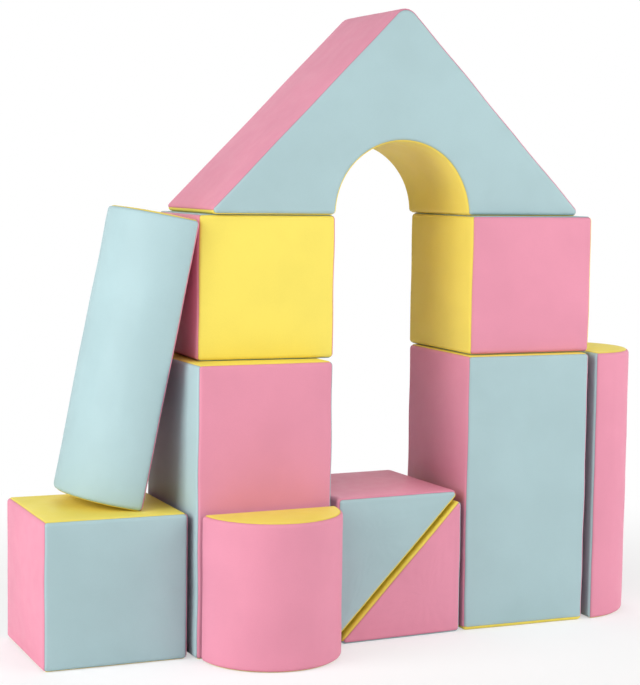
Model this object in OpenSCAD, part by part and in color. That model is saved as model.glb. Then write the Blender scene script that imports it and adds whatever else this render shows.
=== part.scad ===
// Soft play castle: eleven upholstered foam blocks stacked as one set.
// Millimetres. X runs along the front, Y towards the back and Z up.
// The origin is on the floor below the middle of the set.

/* [Cubes and pillars] */
// Edge of the three cubes
cube_w = 300; // [260:5:340]
// Width and depth of both pillars
pillar_w = 300; // [260:5:340]
// Height of both pillars
pillar_h = 600; // [500:10:700]

/* [Half rolls] */
// Diameter of the three half rolls
roll_d = 300; // [260:5:320]
// Length of the leaning roll and the side roll
long_roll_l = 600; // [540:10:640]
// Length of the front roll
short_roll_l = 300; // [260:5:340]

/* [Wedges] */
// Both legs of the triangular ends
wedge_leg = 300; // [260:5:340]
// Depth from front to back
wedge_d = 300; // [260:5:340]
// Rise of the sloping face above its seams
slope_crown = 4; // [2:0.5:6]

/* [Arch roof] */
// Width along the base
roof_w = 880; // [840:5:920]
// Height from base to ridge
roof_h = 445; // [400:5:480]
// Depth from front to back
roof_d = 300; // [260:5:340]
// Radius of the archway
arch_r = 155; // [130:5:180]
// Rounding of the ridge
ridge_r = 30; // [15:1:40]

/* [Covers] */
// Thickness of the coated cloth
cover_t = 1; // [0.8:0.1:1.5]
// Air between the foam and the cloth
foam_gap = 0.4; // [0.3:0.1:1]
// Rounding of the sewn edges
edge_r = 10; // [8:0.5:14]
// Rise of a free face above its seams
face_crown = 3; // [1:0.5:4]

/* [Zips] */
// Length of the closed chain
zip_l = 220; // [180:5:230]
// From the end of the block to the zip
zip_edge = 36; // [32:1:50]
// Width of one tape
tape_w = 12; // [9:0.5:14]
// Thickness of the tape
tape_t = 0.6; // [0.4:0.1:0.8]
// Width of one half of the chain
chain_w = 2.2; // [1.8:0.1:2.6]
// Height of the chain above the cloth
chain_rise = 0.4; // [0.2:0.1:0.6]
// Slit between the two halves of the chain
slit_w = 0.9; // [0.8:0.1:1.2]
// Length of the stop at each end of the chain
stop_l = 3; // [2:0.5:5]
// Height of the stops above the chain
stop_rise = 0.6; // [0.4:0.1:1]
// Tape beyond each end of the chain
tape_tail = 12; // [8:1:14]
// Opening in the cloth beyond each end of the chain
slot_end = 4; // [2:0.5:6]
// Opening in the cloth beside the chain
slot_side = 0.8; // [0.6:0.1:1.2]
// Room around the tapes in the foam
tape_room = 2; // [1:0.5:4]
// Length of the slider
slider_l = 14; // [12:1:18]
// Slider beside the chain
slider_side = 0.5; // [0.3:0.1:0.7]
// Thickness of the slider's plates
plate_t = 1; // [0.8:0.1:1.2]
// Width of the slider's thumb bridge
bridge_w = 2.4; // [2:0.1:3]
// Height of the thumb bridge above its plate
bridge_rise = 1.2; // [0.8:0.1:1.6]
// Air around the slider
slider_gap = 0.25; // [0.2:0.05:0.3]
// Air between the slider and each stop
stop_gap = 1; // [0.5:0.5:3]

/* [Layout] */
// Air between stacked blocks
seat_gap = 0.3; // [0.2:0.1:0.5]
// Between the corner cube and the left pillar
corner_gap = 8; // [8:1:20]
// Between the left pillar and the wedges
left_gap = 10.5; // [10.5:0.5:20]
// Between the wedges and the right pillar
right_gap = 18; // [18:1:30]
// Between the right pillar and the side roll
side_gap = 18; // [10:1:30]
// Between the left pillar and the front roll
front_gap = 7; // [6.5:0.5:15]
// Sideways shift of the front roll
front_shift = 6; // [0:1:8]
// Set-back of the corner cube
corner_back = 18; // [0:1:40]
// Sideways shift of the left top cube on its pillar
left_top_shift = 35; // [20:1:45]
// Set-back of the left top cube on its pillar
left_top_back = 62; // [40:1:80]
// Sideways shift of the right top cube on its pillar
right_top_shift = 10; // [0:1:25]
// Set-back of the right top cube on its pillar
right_top_back = 19; // [0:1:40]
// Sideways shift of the roof from the middle of the top cubes
roof_shift = -3; // [-10:1:10]
// Set-back of the roof from the middle of the top cubes
roof_back = 4; // [-10:1:10]
// Shift of the leaning roll along the cube that it leans on
lean_shift = -18; // [-40:1:20]
// Lean of the leaning roll
lean = 11.3; // [11:0.1:14]
// Turn of the corner cube
corner_turn = -1.5; // [-2:0.1:2]
// Turn of the left top cube
left_top_turn = -3.8; // [-5:0.1:0]
// Turn of the wedges
wedge_turn = 1.4; // [0:0.1:1.5]
// Turn of the right pillar
right_turn = -2.4; // [-3:0.1:0]
// Turn of the right top cube
right_top_turn = -1.5; // [-4:0.1:4]
// Turn of the roof
roof_turn = -2; // [-4:0.1:4]

/* [Hidden] */
$fn = 96;
// Half length of the solids that cut or bound
reach = 2000;
// Depth of the mitre cuts between panels
mitre = 24;
// A rounding crosses its faces at a small angle instead of touching them
ease = 0.02;
// The second crown of a face clears the first in the middle
cross_crown = 1;
foam_inset = cover_t + foam_gap;
roll_r = roll_d / 2;
wedge_lift = (2 * slope_crown + seat_gap) * sqrt(2);
// Corners of the triangular ends
wedge_points = [[-wedge_leg / 2, 0], [wedge_leg / 2, 0], [wedge_leg / 2, wedge_leg]];
roof_points = [[-roof_w / 2, 0], [roof_w / 2, 0], [0, roof_h]];
// Zip sizes
slot_w = slit_w + 2 * (chain_w + slot_side);
slider_w = slit_w + 2 * (chain_w + slider_side);
slider_drop = cover_t + tape_t + slider_gap + plate_t;
zip_travel = zip_l - slider_l - 2 * (stop_l + stop_gap);
// Places of the blocks on the floor plan, from the middle of the left pillar
left_top_at = [left_top_shift, left_top_back];
corner_at = [-(pillar_w + cube_w) / 2 - corner_gap, corner_back];
front_at = [front_shift, -pillar_w / 2 - front_gap];
wedge_at = [(pillar_w + wedge_leg) / 2 + left_gap, -1];
right_at = wedge_at + [(wedge_leg + pillar_w) / 2 + right_gap, -1];
right_top_at = right_at + [right_top_shift, right_top_back];
side_at = right_at + turned([pillar_w / 2 + side_gap, 0], right_turn);
roof_at = (left_top_at + right_top_at) / 2 + [roof_shift, roof_back];
// The leaning roll turns on the middle of its rounded lower edge
top_z = pillar_h + seat_gap;
roof_z = top_z + cube_w + seat_gap;
lean_z = cube_w + seat_gap + edge_r;
lean_run = (long_roll_l - 2 * edge_r) * sin(lean);
lean_rise = lean_z + (long_roll_l - 2 * edge_r) * cos(lean);
// How far the cube's side swells at the height where the roll meets it
lean_share = min(1, abs(lean_rise - top_z - cube_w / 2) / (cube_w / 2));
lean_swell = min(face_crown, (face_crown + cross_crown) * (1 - lean_share * lean_share));
// A short roll meets the side of the cube with its upper edge
lean_on_side = cube_w / 2 + lean_swell + seat_gap + edge_r + lean_run;
// A long roll meets the upper edge of the cube with its flat face
cube_edge = edge_r * (1 - sin(end_turn(cube_w, face_crown + cross_crown)));
lean_on_edge = cube_w / 2 - cube_edge
    + (2 * edge_r + seat_gap + (pillar_h - 2 * edge_r) * sin(lean)) / cos(lean);
lean_reach = lean_rise > top_z + cube_w - edge_r ? lean_on_edge : lean_on_side;
lean_at = left_top_at + turned([-lean_reach, lean_shift], left_top_turn);
// Middle of the whole set
set_left = corner_at.x - (cube_w / 2 + face_crown) * cos(corner_turn)
    - bow_r(cube_w, face_crown) * (1 - cos(corner_turn));
set_right = side_at.x + roll_r;
set_front = front_at.y - roll_r;
set_back = left_top_at.y + plan_half(cube_w, left_top_turn);
set_mid = [(set_left + set_right) / 2, (set_front + set_back) / 2];

blue = "#b4d0d3";
pink = "#eea3ba";
yellow = "#f1e08c";
foam = "#f4efdf";
metal = "#c9ccd0";

function unit(v) = v / norm(v);
function turned(p, a) = [p.x * cos(a) - p.y * sin(a), p.x * sin(a) + p.y * cos(a)];
function heading(a, b) = atan2(b.y - a.y, b.x - a.x);
function outward(angle) = [sin(angle), -cos(angle)];
function bow_r(length, bow) = (length * length / 4 + bow * bow) / (2 * bow);
function end_turn(length, bow) = bow == 0 ? 0 : asin(length / 2 / bow_r(length, bow));
function rectangle(w, low, high) = [[-w / 2, low], [w / 2, low], [w / 2, high], [-w / 2, high]];
// Half the extent in plan of a turned square block with rounded corners
function plan_half(w, a) = (w / 2 - edge_r) * (cos(a) + abs(sin(a))) + edge_r;
// From a corner of an outline, the way out along its mitre for each unit of offset
function mitre_out(points, i) =
    let (n = len(points))
    let (n1 = outward(heading(points[(i + n - 1) % n], points[i])))
    let (n2 = outward(heading(points[i], points[(i + 1) % n])))
    let (out = unit(n1 + n2))
    out / (out * n1);

// Outlines: counter-clockwise corners, a rounding for each corner and a bow for each side

module side_region(a, b, bow, inset) {
    length = norm(b - a);
    translate((a + b) / 2)
        rotate(heading(a, b))
            if (bow == 0)
                translate([-reach, inset])
                    square([2 * reach, 2 * reach]);
            else
                translate([0, bow_r(length, bow) - bow])
                    circle(r = bow_r(length, bow) - inset, $fn = 256);
}

// What a rounding takes off a corner, for a circle about a middle that touches two faces
module rounding_waste(middle, n1, n2, r, inset) {
    out = unit(n1 + n2);
    difference() {
        polygon([middle, middle + n1 * 2 * r, middle + out * (r / (out * n1) + r),
                 middle + n2 * 2 * r]);
        translate(middle)
            circle(r = r - inset + ease);
    }
}

module corner_waste(a, v, b, bow_a, bow_b, r, inset) {
    n1 = outward(heading(a, v) + end_turn(norm(v - a), bow_a));
    n2 = outward(heading(v, b) - end_turn(norm(b - v), bow_b));
    out = unit(n1 + n2);
    rounding_waste(v - out * r / (out * n1), n1, n2, r, inset);
}

module outline(points, radii, bows, inset) {
    n = len(points);
    difference() {
        intersection_for (i = [0 : n - 1])
            side_region(points[i], points[(i + 1) % n], bows[i], inset);
        for (i = [0 : n - 1])
            if (radii[i] > 0)
                corner_waste(points[(i + n - 1) % n], points[i], points[(i + 1) % n],
                             bows[(i + n - 1) % n], bows[i], radii[i], inset);
    }
}

// Directions: an outline stands in a plane and runs through the whole set

module through_depth() {
    rotate([90, 0, 0])
        linear_extrude(height = 2 * reach, center = true)
            children();
}

module through_height() {
    linear_extrude(height = 2 * reach, center = true)
        children();
}

module through_width() {
    rotate([90, 0, 90])
        linear_extrude(height = 2 * reach, center = true)
            children();
}

// Along one side of an upright outline, with the drawing's x as depth and its y as outward
module along_side(points, i) {
    a = points[i];
    b = points[(i + 1) % len(points)];
    translate([a.x, 0, a.y])
        rotate([0, -heading(a, b), 0])
            rotate([-90, 0, 90])
                linear_extrude(height = 2 * reach, center = true)
                    children();
}

// Mitred regions that share a cover out between its panels

module flanks(w, low, high) {
    for (s = [-1, 1])
        polygon([[s * (w / 2 + mitre), low - mitre], [s * (w / 2 + mitre), high + mitre],
                 [s * (w / 2 - mitre), high - mitre], [s * (w / 2 - mitre), low + mitre]]);
}

module wall_mitre(d) {
    polygon([[-d / 2 - mitre, mitre], [-d / 2 + mitre, -mitre],
             [d / 2 - mitre, -mitre], [d / 2 + mitre, mitre]]);
}

module wall_region(points, i, d) {
    j = (i + 1) % len(points);
    intersection() {
        through_depth()
            polygon([points[i] + mitre_out(points, i) * mitre,
                     points[j] + mitre_out(points, j) * mitre,
                     points[j] - mitre_out(points, j) * mitre,
                     points[i] - mitre_out(points, i) * mitre]);
        along_side(points, i)
            wall_mitre(d);
    }
}

// Zip, drawn with its length along x and the cloth's outer face at z = 0

module zip_opening() {
    translate([-zip_l / 2 - slot_end, -slot_w / 2, -foam_inset])
        cube([zip_l + 2 * slot_end, slot_w, 2 * foam_inset]);
}

module zip_chain() {
    for (s = [0, 1])
        mirror([0, s, 0]) {
            translate([-zip_l / 2 - tape_tail, slit_w / 2, -cover_t - tape_t])
                cube([zip_l + 2 * tape_tail, tape_w, tape_t]);
            translate([-zip_l / 2, slit_w / 2, -cover_t - tape_t])
                cube([zip_l, chain_w, cover_t + tape_t + chain_rise]);
        }
    for (s = [0, 1])
        mirror([s, 0, 0])
            translate([zip_l / 2 - stop_l, -slit_w / 2 - chain_w, -cover_t - tape_t])
                cube([stop_l, slit_w + 2 * chain_w, cover_t + tape_t + chain_rise + stop_rise]);
}

module zip_relief() {
    room = tape_tail + tape_room;
    side = slit_w / 2 + tape_w + tape_room;
    translate([-zip_l / 2 - room, -side, -slider_drop - foam_gap])
        cube([zip_l + 2 * room, 2 * side, slider_drop + foam_gap]);
}

module zip_slider() {
    color(metal)
        translate([-zip_travel / 2, 0, 0]) {
            // Upper plate with its thumb bridge
            translate([-slider_l / 2, -slider_w / 2, chain_rise + slider_gap])
                cube([slider_l, slider_w, plate_t]);
            intersection() {
                translate([0, bridge_w / 2, chain_rise + slider_gap])
                    rotate([90, 0, 0])
                        cylinder(r = plate_t + bridge_rise, h = bridge_w);
                translate([-slider_l / 2, -slider_w / 2, chain_rise + slider_gap])
                    cube([slider_l, slider_w, plate_t + 2 * bridge_rise]);
            }
            // Blade through the slit
            translate([-slider_l / 4, slider_gap - slit_w / 2, -slider_drop])
                cube([slider_l / 2, slit_w - 2 * slider_gap,
                      slider_drop + chain_rise + slider_gap + plate_t]);
            // Lower plate behind the tapes
            translate([-slider_l / 2, -slider_w / 2, -slider_drop])
                cube([slider_l, slider_w, plate_t]);
        }
}

// Box blocks: cubes and pillars. The back carries the zip, so it stays flat

module box_body(w, d, h, inset) {
    radii = [edge_r, edge_r, edge_r, edge_r];
    first = face_crown;
    second = face_crown + cross_crown;
    intersection() {
        through_depth()
            outline(rectangle(w, 0, h), radii, [0, second, 0, second], inset);
        through_height()
            outline(rectangle(w, -d / 2, d / 2), radii, [first, first, 0, first], inset);
        through_width()
            outline(rectangle(d, 0, h), radii, [0, 0, 0, second], inset);
    }
}

module box_cover(w, d, h) {
    difference() {
        box_body(w, d, h, 0);
        box_body(w, d, h, cover_t);
    }
}

module box_zip_place(d) {
    translate([0, d / 2, zip_edge])
        rotate([90, 0, 180])
            children();
}

module box_foam(w, d, h) {
    color(foam)
        difference() {
            box_body(w, d, h, foam_inset);
            box_zip_place(d)
                zip_relief();
        }
}

module box_faces(w, d, h, cloth) {
    color(cloth) {
        difference() {
            intersection() {
                box_cover(w, d, h);
                through_height()
                    rotate(90)
                        flanks(d, -w / 2, w / 2);
                through_width()
                    flanks(d, 0, h);
            }
            box_zip_place(d)
                zip_opening();
        }
        box_zip_place(d)
            zip_chain();
    }
}

module box_sides(w, d, h, cloth) {
    color(cloth)
        intersection() {
            box_cover(w, d, h);
            through_height()
                flanks(w, -d / 2, d / 2);
            through_depth()
                flanks(w, 0, h);
        }
}

module box_ends(w, d, h, cloth) {
    color(cloth)
        intersection() {
            box_cover(w, d, h);
            through_depth()
                translate([0, h / 2])
                    rotate(90)
                        flanks(h, -w / 2, w / 2);
            through_width()
                translate([0, h / 2])
                    rotate(90)
                        flanks(h, -d / 2, d / 2);
        }
}

module pillar_foam() {
    box_foam(pillar_w, pillar_w, pillar_h);
}

module pillar_faces(cloth) {
    box_faces(pillar_w, pillar_w, pillar_h, cloth);
}

module pillar_sides(cloth) {
    box_sides(pillar_w, pillar_w, pillar_h, cloth);
}

module pillar_ends(cloth) {
    box_ends(pillar_w, pillar_w, pillar_h, cloth);
}

module cube_foam() {
    box_foam(cube_w, cube_w, cube_w);
}

module cube_faces(cloth) {
    box_faces(cube_w, cube_w, cube_w, cloth);
}

module cube_sides(cloth) {
    box_sides(cube_w, cube_w, cube_w, cloth);
}

module cube_ends(cloth) {
    box_ends(cube_w, cube_w, cube_w, cloth);
}

module box_slider(d) {
    box_zip_place(d)
        zip_slider();
}

// Wedges: base leg below, upright leg with the zip on the right, slope on the left.
// The base leg of the upper wedge is its free top, so it swells

module wall_slab(points, i, d, bow, inset) {
    along_side(points, i)
        outline([[-d / 2, -reach], [d / 2, -reach], [d / 2, 0], [-d / 2, 0]],
                [0, 0, edge_r, edge_r], [0, 0, bow, 0], inset);
}

module wedge_body(free, inset) {
    intersection() {
        through_depth()
            outline(wedge_points, [edge_r, edge_r, edge_r],
                    [free ? face_crown + cross_crown : 0, 0, slope_crown + cross_crown], inset);
        wall_slab(wedge_points, 0, wedge_d, free ? face_crown : 0, inset);
        wall_slab(wedge_points, 1, wedge_d, 0, inset);
        wall_slab(wedge_points, 2, wedge_d, slope_crown, inset);
    }
}

module wedge_cover(free) {
    difference() {
        wedge_body(free, 0);
        wedge_body(free, cover_t);
    }
}

module wedge_zip_place() {
    translate([wedge_leg / 2, 0, zip_edge])
        rotate([90, 0, 90])
            children();
}

module wedge_foam(free) {
    color(foam)
        difference() {
            wedge_body(free, foam_inset);
            wedge_zip_place()
                zip_relief();
        }
}

module wedge_faces(free, cloth) {
    color(cloth)
        difference() {
            wedge_cover(free);
            for (i = [0 : 2])
                along_side(wedge_points, i)
                    wall_mitre(wedge_d);
        }
}

module wedge_legs(free, cloth) {
    color(cloth) {
        intersection() {
            wedge_cover(free);
            wall_region(wedge_points, 0, wedge_d);
        }
        difference() {
            intersection() {
                wedge_cover(free);
                wall_region(wedge_points, 1, wedge_d);
            }
            wedge_zip_place()
                zip_opening();
        }
        wedge_zip_place()
            zip_chain();
    }
}

module wedge_slope(free, cloth) {
    color(cloth)
        intersection() {
            wedge_cover(free);
            wall_region(wedge_points, 2, wedge_d);
        }
}

module wedge_slider() {
    wedge_zip_place()
        zip_slider();
}

// Half rolls: standing on a flat end, with the flat face to the back at y = 0 and a swollen top

module half_disc(inset) {
    tip_x = sqrt(pow(roll_r - edge_r, 2) - edge_r * edge_r);
    difference() {
        intersection() {
            circle(r = roll_r - inset);
            translate([-reach, -reach - inset])
                square([2 * reach, reach]);
        }
        for (s = [-1, 1])
            rounding_waste([s * tip_x, -edge_r], [0, 1], unit([s * tip_x, -edge_r]),
                           edge_r, inset);
    }
}

module roll_body(l, inset) {
    intersection() {
        through_height()
            half_disc(inset);
        rotate_extrude()
            intersection() {
                outline(rectangle(roll_d, 0, l), [edge_r, edge_r, edge_r, edge_r],
                        [0, 0, face_crown, 0], inset);
                translate([0, -reach])
                    square([reach, 2 * reach]);
            }
        through_width()
            outline([[-roll_r - mitre, 0], [0, 0], [0, l], [-roll_r - mitre, l]],
                    [0, edge_r, edge_r, 0], [0, 0, face_crown + cross_crown, 0], inset);
    }
}

module roll_cover(l) {
    difference() {
        roll_body(l, 0);
        roll_body(l, cover_t);
    }
}

module roll_curve_region(l) {
    rotate_extrude()
        polygon([[roll_r + mitre, -mitre], [roll_r + mitre, l + mitre],
                 [roll_r - mitre, l - mitre], [roll_r - mitre, mitre]]);
}

module roll_flat_plan() {
    through_height()
        polygon([[-roll_r - mitre, mitre], [-roll_r + mitre, -mitre],
                 [roll_r - mitre, -mitre], [roll_r + mitre, mitre]]);
}

module roll_flat_rise(l) {
    through_width()
        polygon([[mitre, -mitre], [mitre, l + mitre], [-mitre, l - mitre], [-mitre, mitre]]);
}

module roll_zip_place() {
    translate([0, 0, zip_edge])
        rotate([90, 0, 180])
            children();
}

module roll_foam(l) {
    color(foam)
        difference() {
            roll_body(l, foam_inset);
            roll_zip_place()
                zip_relief();
        }
}

module roll_curve(l, cloth) {
    color(cloth)
        difference() {
            intersection() {
                roll_cover(l);
                roll_curve_region(l);
            }
            roll_flat_plan();
        }
}

module roll_flat(l, cloth) {
    color(cloth) {
        difference() {
            intersection() {
                roll_cover(l);
                roll_flat_plan();
                roll_flat_rise(l);
            }
            roll_zip_place()
                zip_opening();
        }
        roll_zip_place()
            zip_chain();
    }
}

module roll_ends(l, cloth) {
    color(cloth)
        difference() {
            roll_cover(l);
            roll_curve_region(l);
            roll_flat_rise(l);
        }
}

module roll_slider() {
    roll_zip_place()
        zip_slider();
}

// Arch roof: a gable block with a half-round archway in its base

// The archway in the upright plane, with rounded feet
module arch_hole(inset) {
    foot_x = sqrt(pow(arch_r + edge_r, 2) - edge_r * edge_r);
    circle(r = arch_r + inset);
    for (s = [-1, 1])
        rounding_waste([s * foot_x, edge_r], [0, -1], unit([-s * foot_x, -edge_r]),
                       edge_r, inset);
}

// The rounded rims of the archway, front and back
module arch_rims(inset) {
    rotate([90, 0, 0])
        rotate_extrude()
            for (s = [0, 1])
                mirror([0, s])
                    difference() {
                        translate([arch_r - edge_r, roof_d / 2 - edge_r])
                            square(2 * edge_r);
                        translate([arch_r + edge_r, roof_d / 2 - edge_r])
                            circle(r = edge_r - inset + ease);
                    }
}

module roof_body(inset) {
    difference() {
        intersection() {
            through_depth()
                difference() {
                    outline(roof_points, [edge_r, edge_r, ridge_r],
                            [0, face_crown + cross_crown, face_crown + cross_crown], inset);
                    arch_hole(inset);
                }
            wall_slab(roof_points, 0, roof_d, 0, inset);
            wall_slab(roof_points, 1, roof_d, face_crown, inset);
            wall_slab(roof_points, 2, roof_d, face_crown, inset);
        }
        arch_rims(inset);
    }
}

module roof_cover() {
    difference() {
        roof_body(0);
        roof_body(cover_t);
    }
}

module arch_plan() {
    through_depth()
        polygon([[0, -arch_r], [reach, reach - arch_r], [-reach, reach - arch_r]]);
}

module arch_region() {
    rotate([90, 0, 0])
        rotate_extrude()
            polygon([[0, -roof_d / 2 - arch_r], [arch_r + mitre, -roof_d / 2 + mitre],
                     [arch_r + mitre, roof_d / 2 - mitre], [0, roof_d / 2 + arch_r]]);
}

// In the back face, beside the right slope and half way up it
module roof_zip_place() {
    slope = heading(roof_points[1], roof_points[2]);
    at = (roof_points[1] + roof_points[2]) / 2 - outward(slope) * zip_edge;
    translate([at.x, roof_d / 2, at.y])
        rotate([0, 180 - slope, 0])
            rotate([90, 0, 180])
                children();
}

module roof_foam() {
    color(foam)
        difference() {
            roof_body(foam_inset);
            roof_zip_place()
                zip_relief();
        }
}

module roof_faces() {
    color(blue) {
        difference() {
            roof_cover();
            for (i = [0 : 2])
                along_side(roof_points, i)
                    wall_mitre(roof_d);
            arch_region();
            roof_zip_place()
                zip_opening();
        }
        roof_zip_place()
            zip_chain();
    }
}

module roof_slopes() {
    color(pink)
        intersection() {
            roof_cover();
            union() {
                wall_region(roof_points, 1, roof_d);
                wall_region(roof_points, 2, roof_d);
            }
        }
}

module roof_base() {
    color(yellow)
        difference() {
            intersection() {
                roof_cover();
                wall_region(roof_points, 0, roof_d);
            }
            arch_plan();
        }
}

module roof_arch() {
    color(yellow)
        intersection() {
            roof_cover();
            arch_region();
            arch_plan();
        }
}

module roof_slider() {
    roof_zip_place()
        zip_slider();
}

// Places

module place(at, z, angle) {
    translate([at.x - set_mid.x, at.y - set_mid.y, z])
        rotate(angle)
            children();
}

module at_roof() {
    place(roof_at, roof_z, roof_turn)
        children();
}

module at_left_pillar() {
    place([0, 0], 0, 0)
        children();
}

module at_right_pillar() {
    place(right_at, 0, right_turn)
        children();
}

module at_corner_cube() {
    place(corner_at, 0, corner_turn)
        children();
}

module at_left_top() {
    place(left_top_at, top_z, left_top_turn)
        children();
}

module at_right_top() {
    place(right_top_at, top_z, right_top_turn)
        children();
}

module at_front_roll() {
    place(front_at, 0, 0)
        children();
}

module at_side_roll() {
    place(side_at, 0, 90 + right_turn)
        children();
}

module at_leaning_roll() {
    place(lean_at, lean_z, left_top_turn - 90)
        rotate([-lean, 0, 0])
            translate([0, edge_r, -edge_r])
                children();
}

module at_lower_wedge() {
    place(wedge_at, 0, wedge_turn)
        children();
}

module at_upper_wedge() {
    place(wedge_at, wedge_leg + wedge_lift, wedge_turn)
        rotate([0, 180, 0])
            children();
}

at_roof() roof_foam();  // arch_roof_foam
at_roof() roof_faces();  // arch_roof_face_panels
at_roof() roof_slopes();  // arch_roof_slope_panel
at_roof() roof_base();  // arch_roof_base_panels
at_roof() roof_arch();  // arch_roof_arch_lining
at_roof() roof_slider();  // arch_roof_zip_slider

at_left_pillar() pillar_foam();  // left_pillar_foam
at_left_pillar() pillar_faces(pink);  // left_pillar_face_panels
at_left_pillar() pillar_sides(blue);  // left_pillar_side_panels
at_left_pillar() pillar_ends(yellow);  // left_pillar_end_panels
at_left_pillar() box_slider(pillar_w);  // left_pillar_zip_slider

at_right_pillar() pillar_foam();  // right_pillar_foam
at_right_pillar() pillar_faces(blue);  // right_pillar_face_panels
at_right_pillar() pillar_sides(pink);  // right_pillar_side_panels
at_right_pillar() pillar_ends(yellow);  // right_pillar_end_panels
at_right_pillar() box_slider(pillar_w);  // right_pillar_zip_slider

at_corner_cube() cube_foam();  // corner_cube_foam
at_corner_cube() cube_faces(blue);  // corner_cube_face_panels
at_corner_cube() cube_sides(pink);  // corner_cube_side_panels
at_corner_cube() cube_ends(yellow);  // corner_cube_end_panels
at_corner_cube() box_slider(cube_w);  // corner_cube_zip_slider

at_left_top() cube_foam();  // left_top_cube_foam
at_left_top() cube_faces(yellow);  // left_top_cube_face_panels
at_left_top() cube_sides(pink);  // left_top_cube_side_panels
at_left_top() cube_ends(blue);  // left_top_cube_end_panels
at_left_top() box_slider(cube_w);  // left_top_cube_zip_slider

at_right_top() cube_foam();  // right_top_cube_foam
at_right_top() cube_faces(pink);  // right_top_cube_face_panels
at_right_top() cube_sides(yellow);  // right_top_cube_side_panels
at_right_top() cube_ends(blue);  // right_top_cube_end_panels
at_right_top() box_slider(cube_w);  // right_top_cube_zip_slider

at_front_roll() roll_foam(short_roll_l);  // front_roll_foam
at_front_roll() roll_curve(short_roll_l, pink);  // front_roll_curved_panel
at_front_roll() roll_flat(short_roll_l, blue);  // front_roll_flat_panel
at_front_roll() roll_ends(short_roll_l, yellow);  // front_roll_end_panels
at_front_roll() roll_slider();  // front_roll_zip_slider

at_leaning_roll() roll_foam(long_roll_l);  // leaning_roll_foam
at_leaning_roll() roll_curve(long_roll_l, blue);  // leaning_roll_curved_panel
at_leaning_roll() roll_flat(long_roll_l, pink);  // leaning_roll_flat_panel
at_leaning_roll() roll_ends(long_roll_l, yellow);  // leaning_roll_end_panels
at_leaning_roll() roll_slider();  // leaning_roll_zip_slider

at_side_roll() roll_foam(long_roll_l);  // side_roll_foam
at_side_roll() roll_curve(long_roll_l, pink);  // side_roll_curved_panel
at_side_roll() roll_flat(long_roll_l, blue);  // side_roll_flat_panel
at_side_roll() roll_ends(long_roll_l, yellow);  // side_roll_end_panels
at_side_roll() roll_slider();  // side_roll_zip_slider

at_upper_wedge() wedge_foam(true);  // upper_wedge_foam
at_upper_wedge() wedge_faces(true, blue);  // upper_wedge_face_panels
at_upper_wedge() wedge_legs(true, pink);  // upper_wedge_leg_panel
at_upper_wedge() wedge_slope(true, yellow);  // upper_wedge_slope_panel
at_upper_wedge() wedge_slider();  // upper_wedge_zip_slider

at_lower_wedge() wedge_foam(false);  // lower_wedge_foam
at_lower_wedge() wedge_faces(false, pink);  // lower_wedge_face_panels
at_lower_wedge() wedge_legs(false, blue);  // lower_wedge_leg_panel
at_lower_wedge() wedge_slope(false, yellow);  // lower_wedge_slope_panel
at_lower_wedge() wedge_slider();  // lower_wedge_zip_slider
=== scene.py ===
"""Looks of a castle of soft covered foam blocks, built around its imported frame.

Every block is a prism: a rounded outline, carried along its depth, with rounded rims at both
ends. The outline's walls and the two faces are the panels of a sewn cover, and they meet in
seams on the rounding of each edge. Lengths are in metres unless a name says otherwise.
"""

import logging
import math
from dataclasses import dataclass, field, replace
from enum import Enum

import bpy
import numpy as np
from mathutils import Matrix, Vector


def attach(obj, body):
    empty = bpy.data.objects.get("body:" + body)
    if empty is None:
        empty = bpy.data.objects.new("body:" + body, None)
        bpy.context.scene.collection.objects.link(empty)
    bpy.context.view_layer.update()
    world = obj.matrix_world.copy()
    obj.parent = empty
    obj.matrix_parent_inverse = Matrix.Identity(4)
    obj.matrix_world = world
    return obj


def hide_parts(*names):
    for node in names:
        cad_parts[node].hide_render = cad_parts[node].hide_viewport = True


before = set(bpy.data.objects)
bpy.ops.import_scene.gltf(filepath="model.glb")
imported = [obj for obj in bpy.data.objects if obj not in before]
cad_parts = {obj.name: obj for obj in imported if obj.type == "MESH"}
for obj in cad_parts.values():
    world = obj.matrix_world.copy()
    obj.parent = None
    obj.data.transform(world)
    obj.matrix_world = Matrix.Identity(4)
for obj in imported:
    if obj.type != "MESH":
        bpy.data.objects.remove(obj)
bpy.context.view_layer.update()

LOG = logging.getLogger("castle")

MM = 0.001
WELD = 2e-7
WELD_OFFSET = 0.37
FAR_SEAM_MM = 9.0
HALF_WAY = math.pi / 4
WHITE = (1.0, 1.0, 1.0, 1.0)

Piece = tuple[np.ndarray, np.ndarray]
Spot = tuple[float, float]
Colour = tuple[float, float, float]
Socket = bpy.types.NodeSocket


class Cloth(Enum):
    """The three colours of coated cloth, named as the record's slots are."""

    BLUE = "cloth_blue"
    PINK = "cloth_pink"
    YELLOW = "cloth_yellow"


class Axes(Enum):
    """How the outline's p and q and the depth w lie in a block's own frame."""

    UPRIGHT = ((1, 0, 0), (0, 0, 1), (0, 1, 0))
    LYING = ((1, 0, 0), (0, 1, 0), (0, 0, 1))


# Finishes


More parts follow.
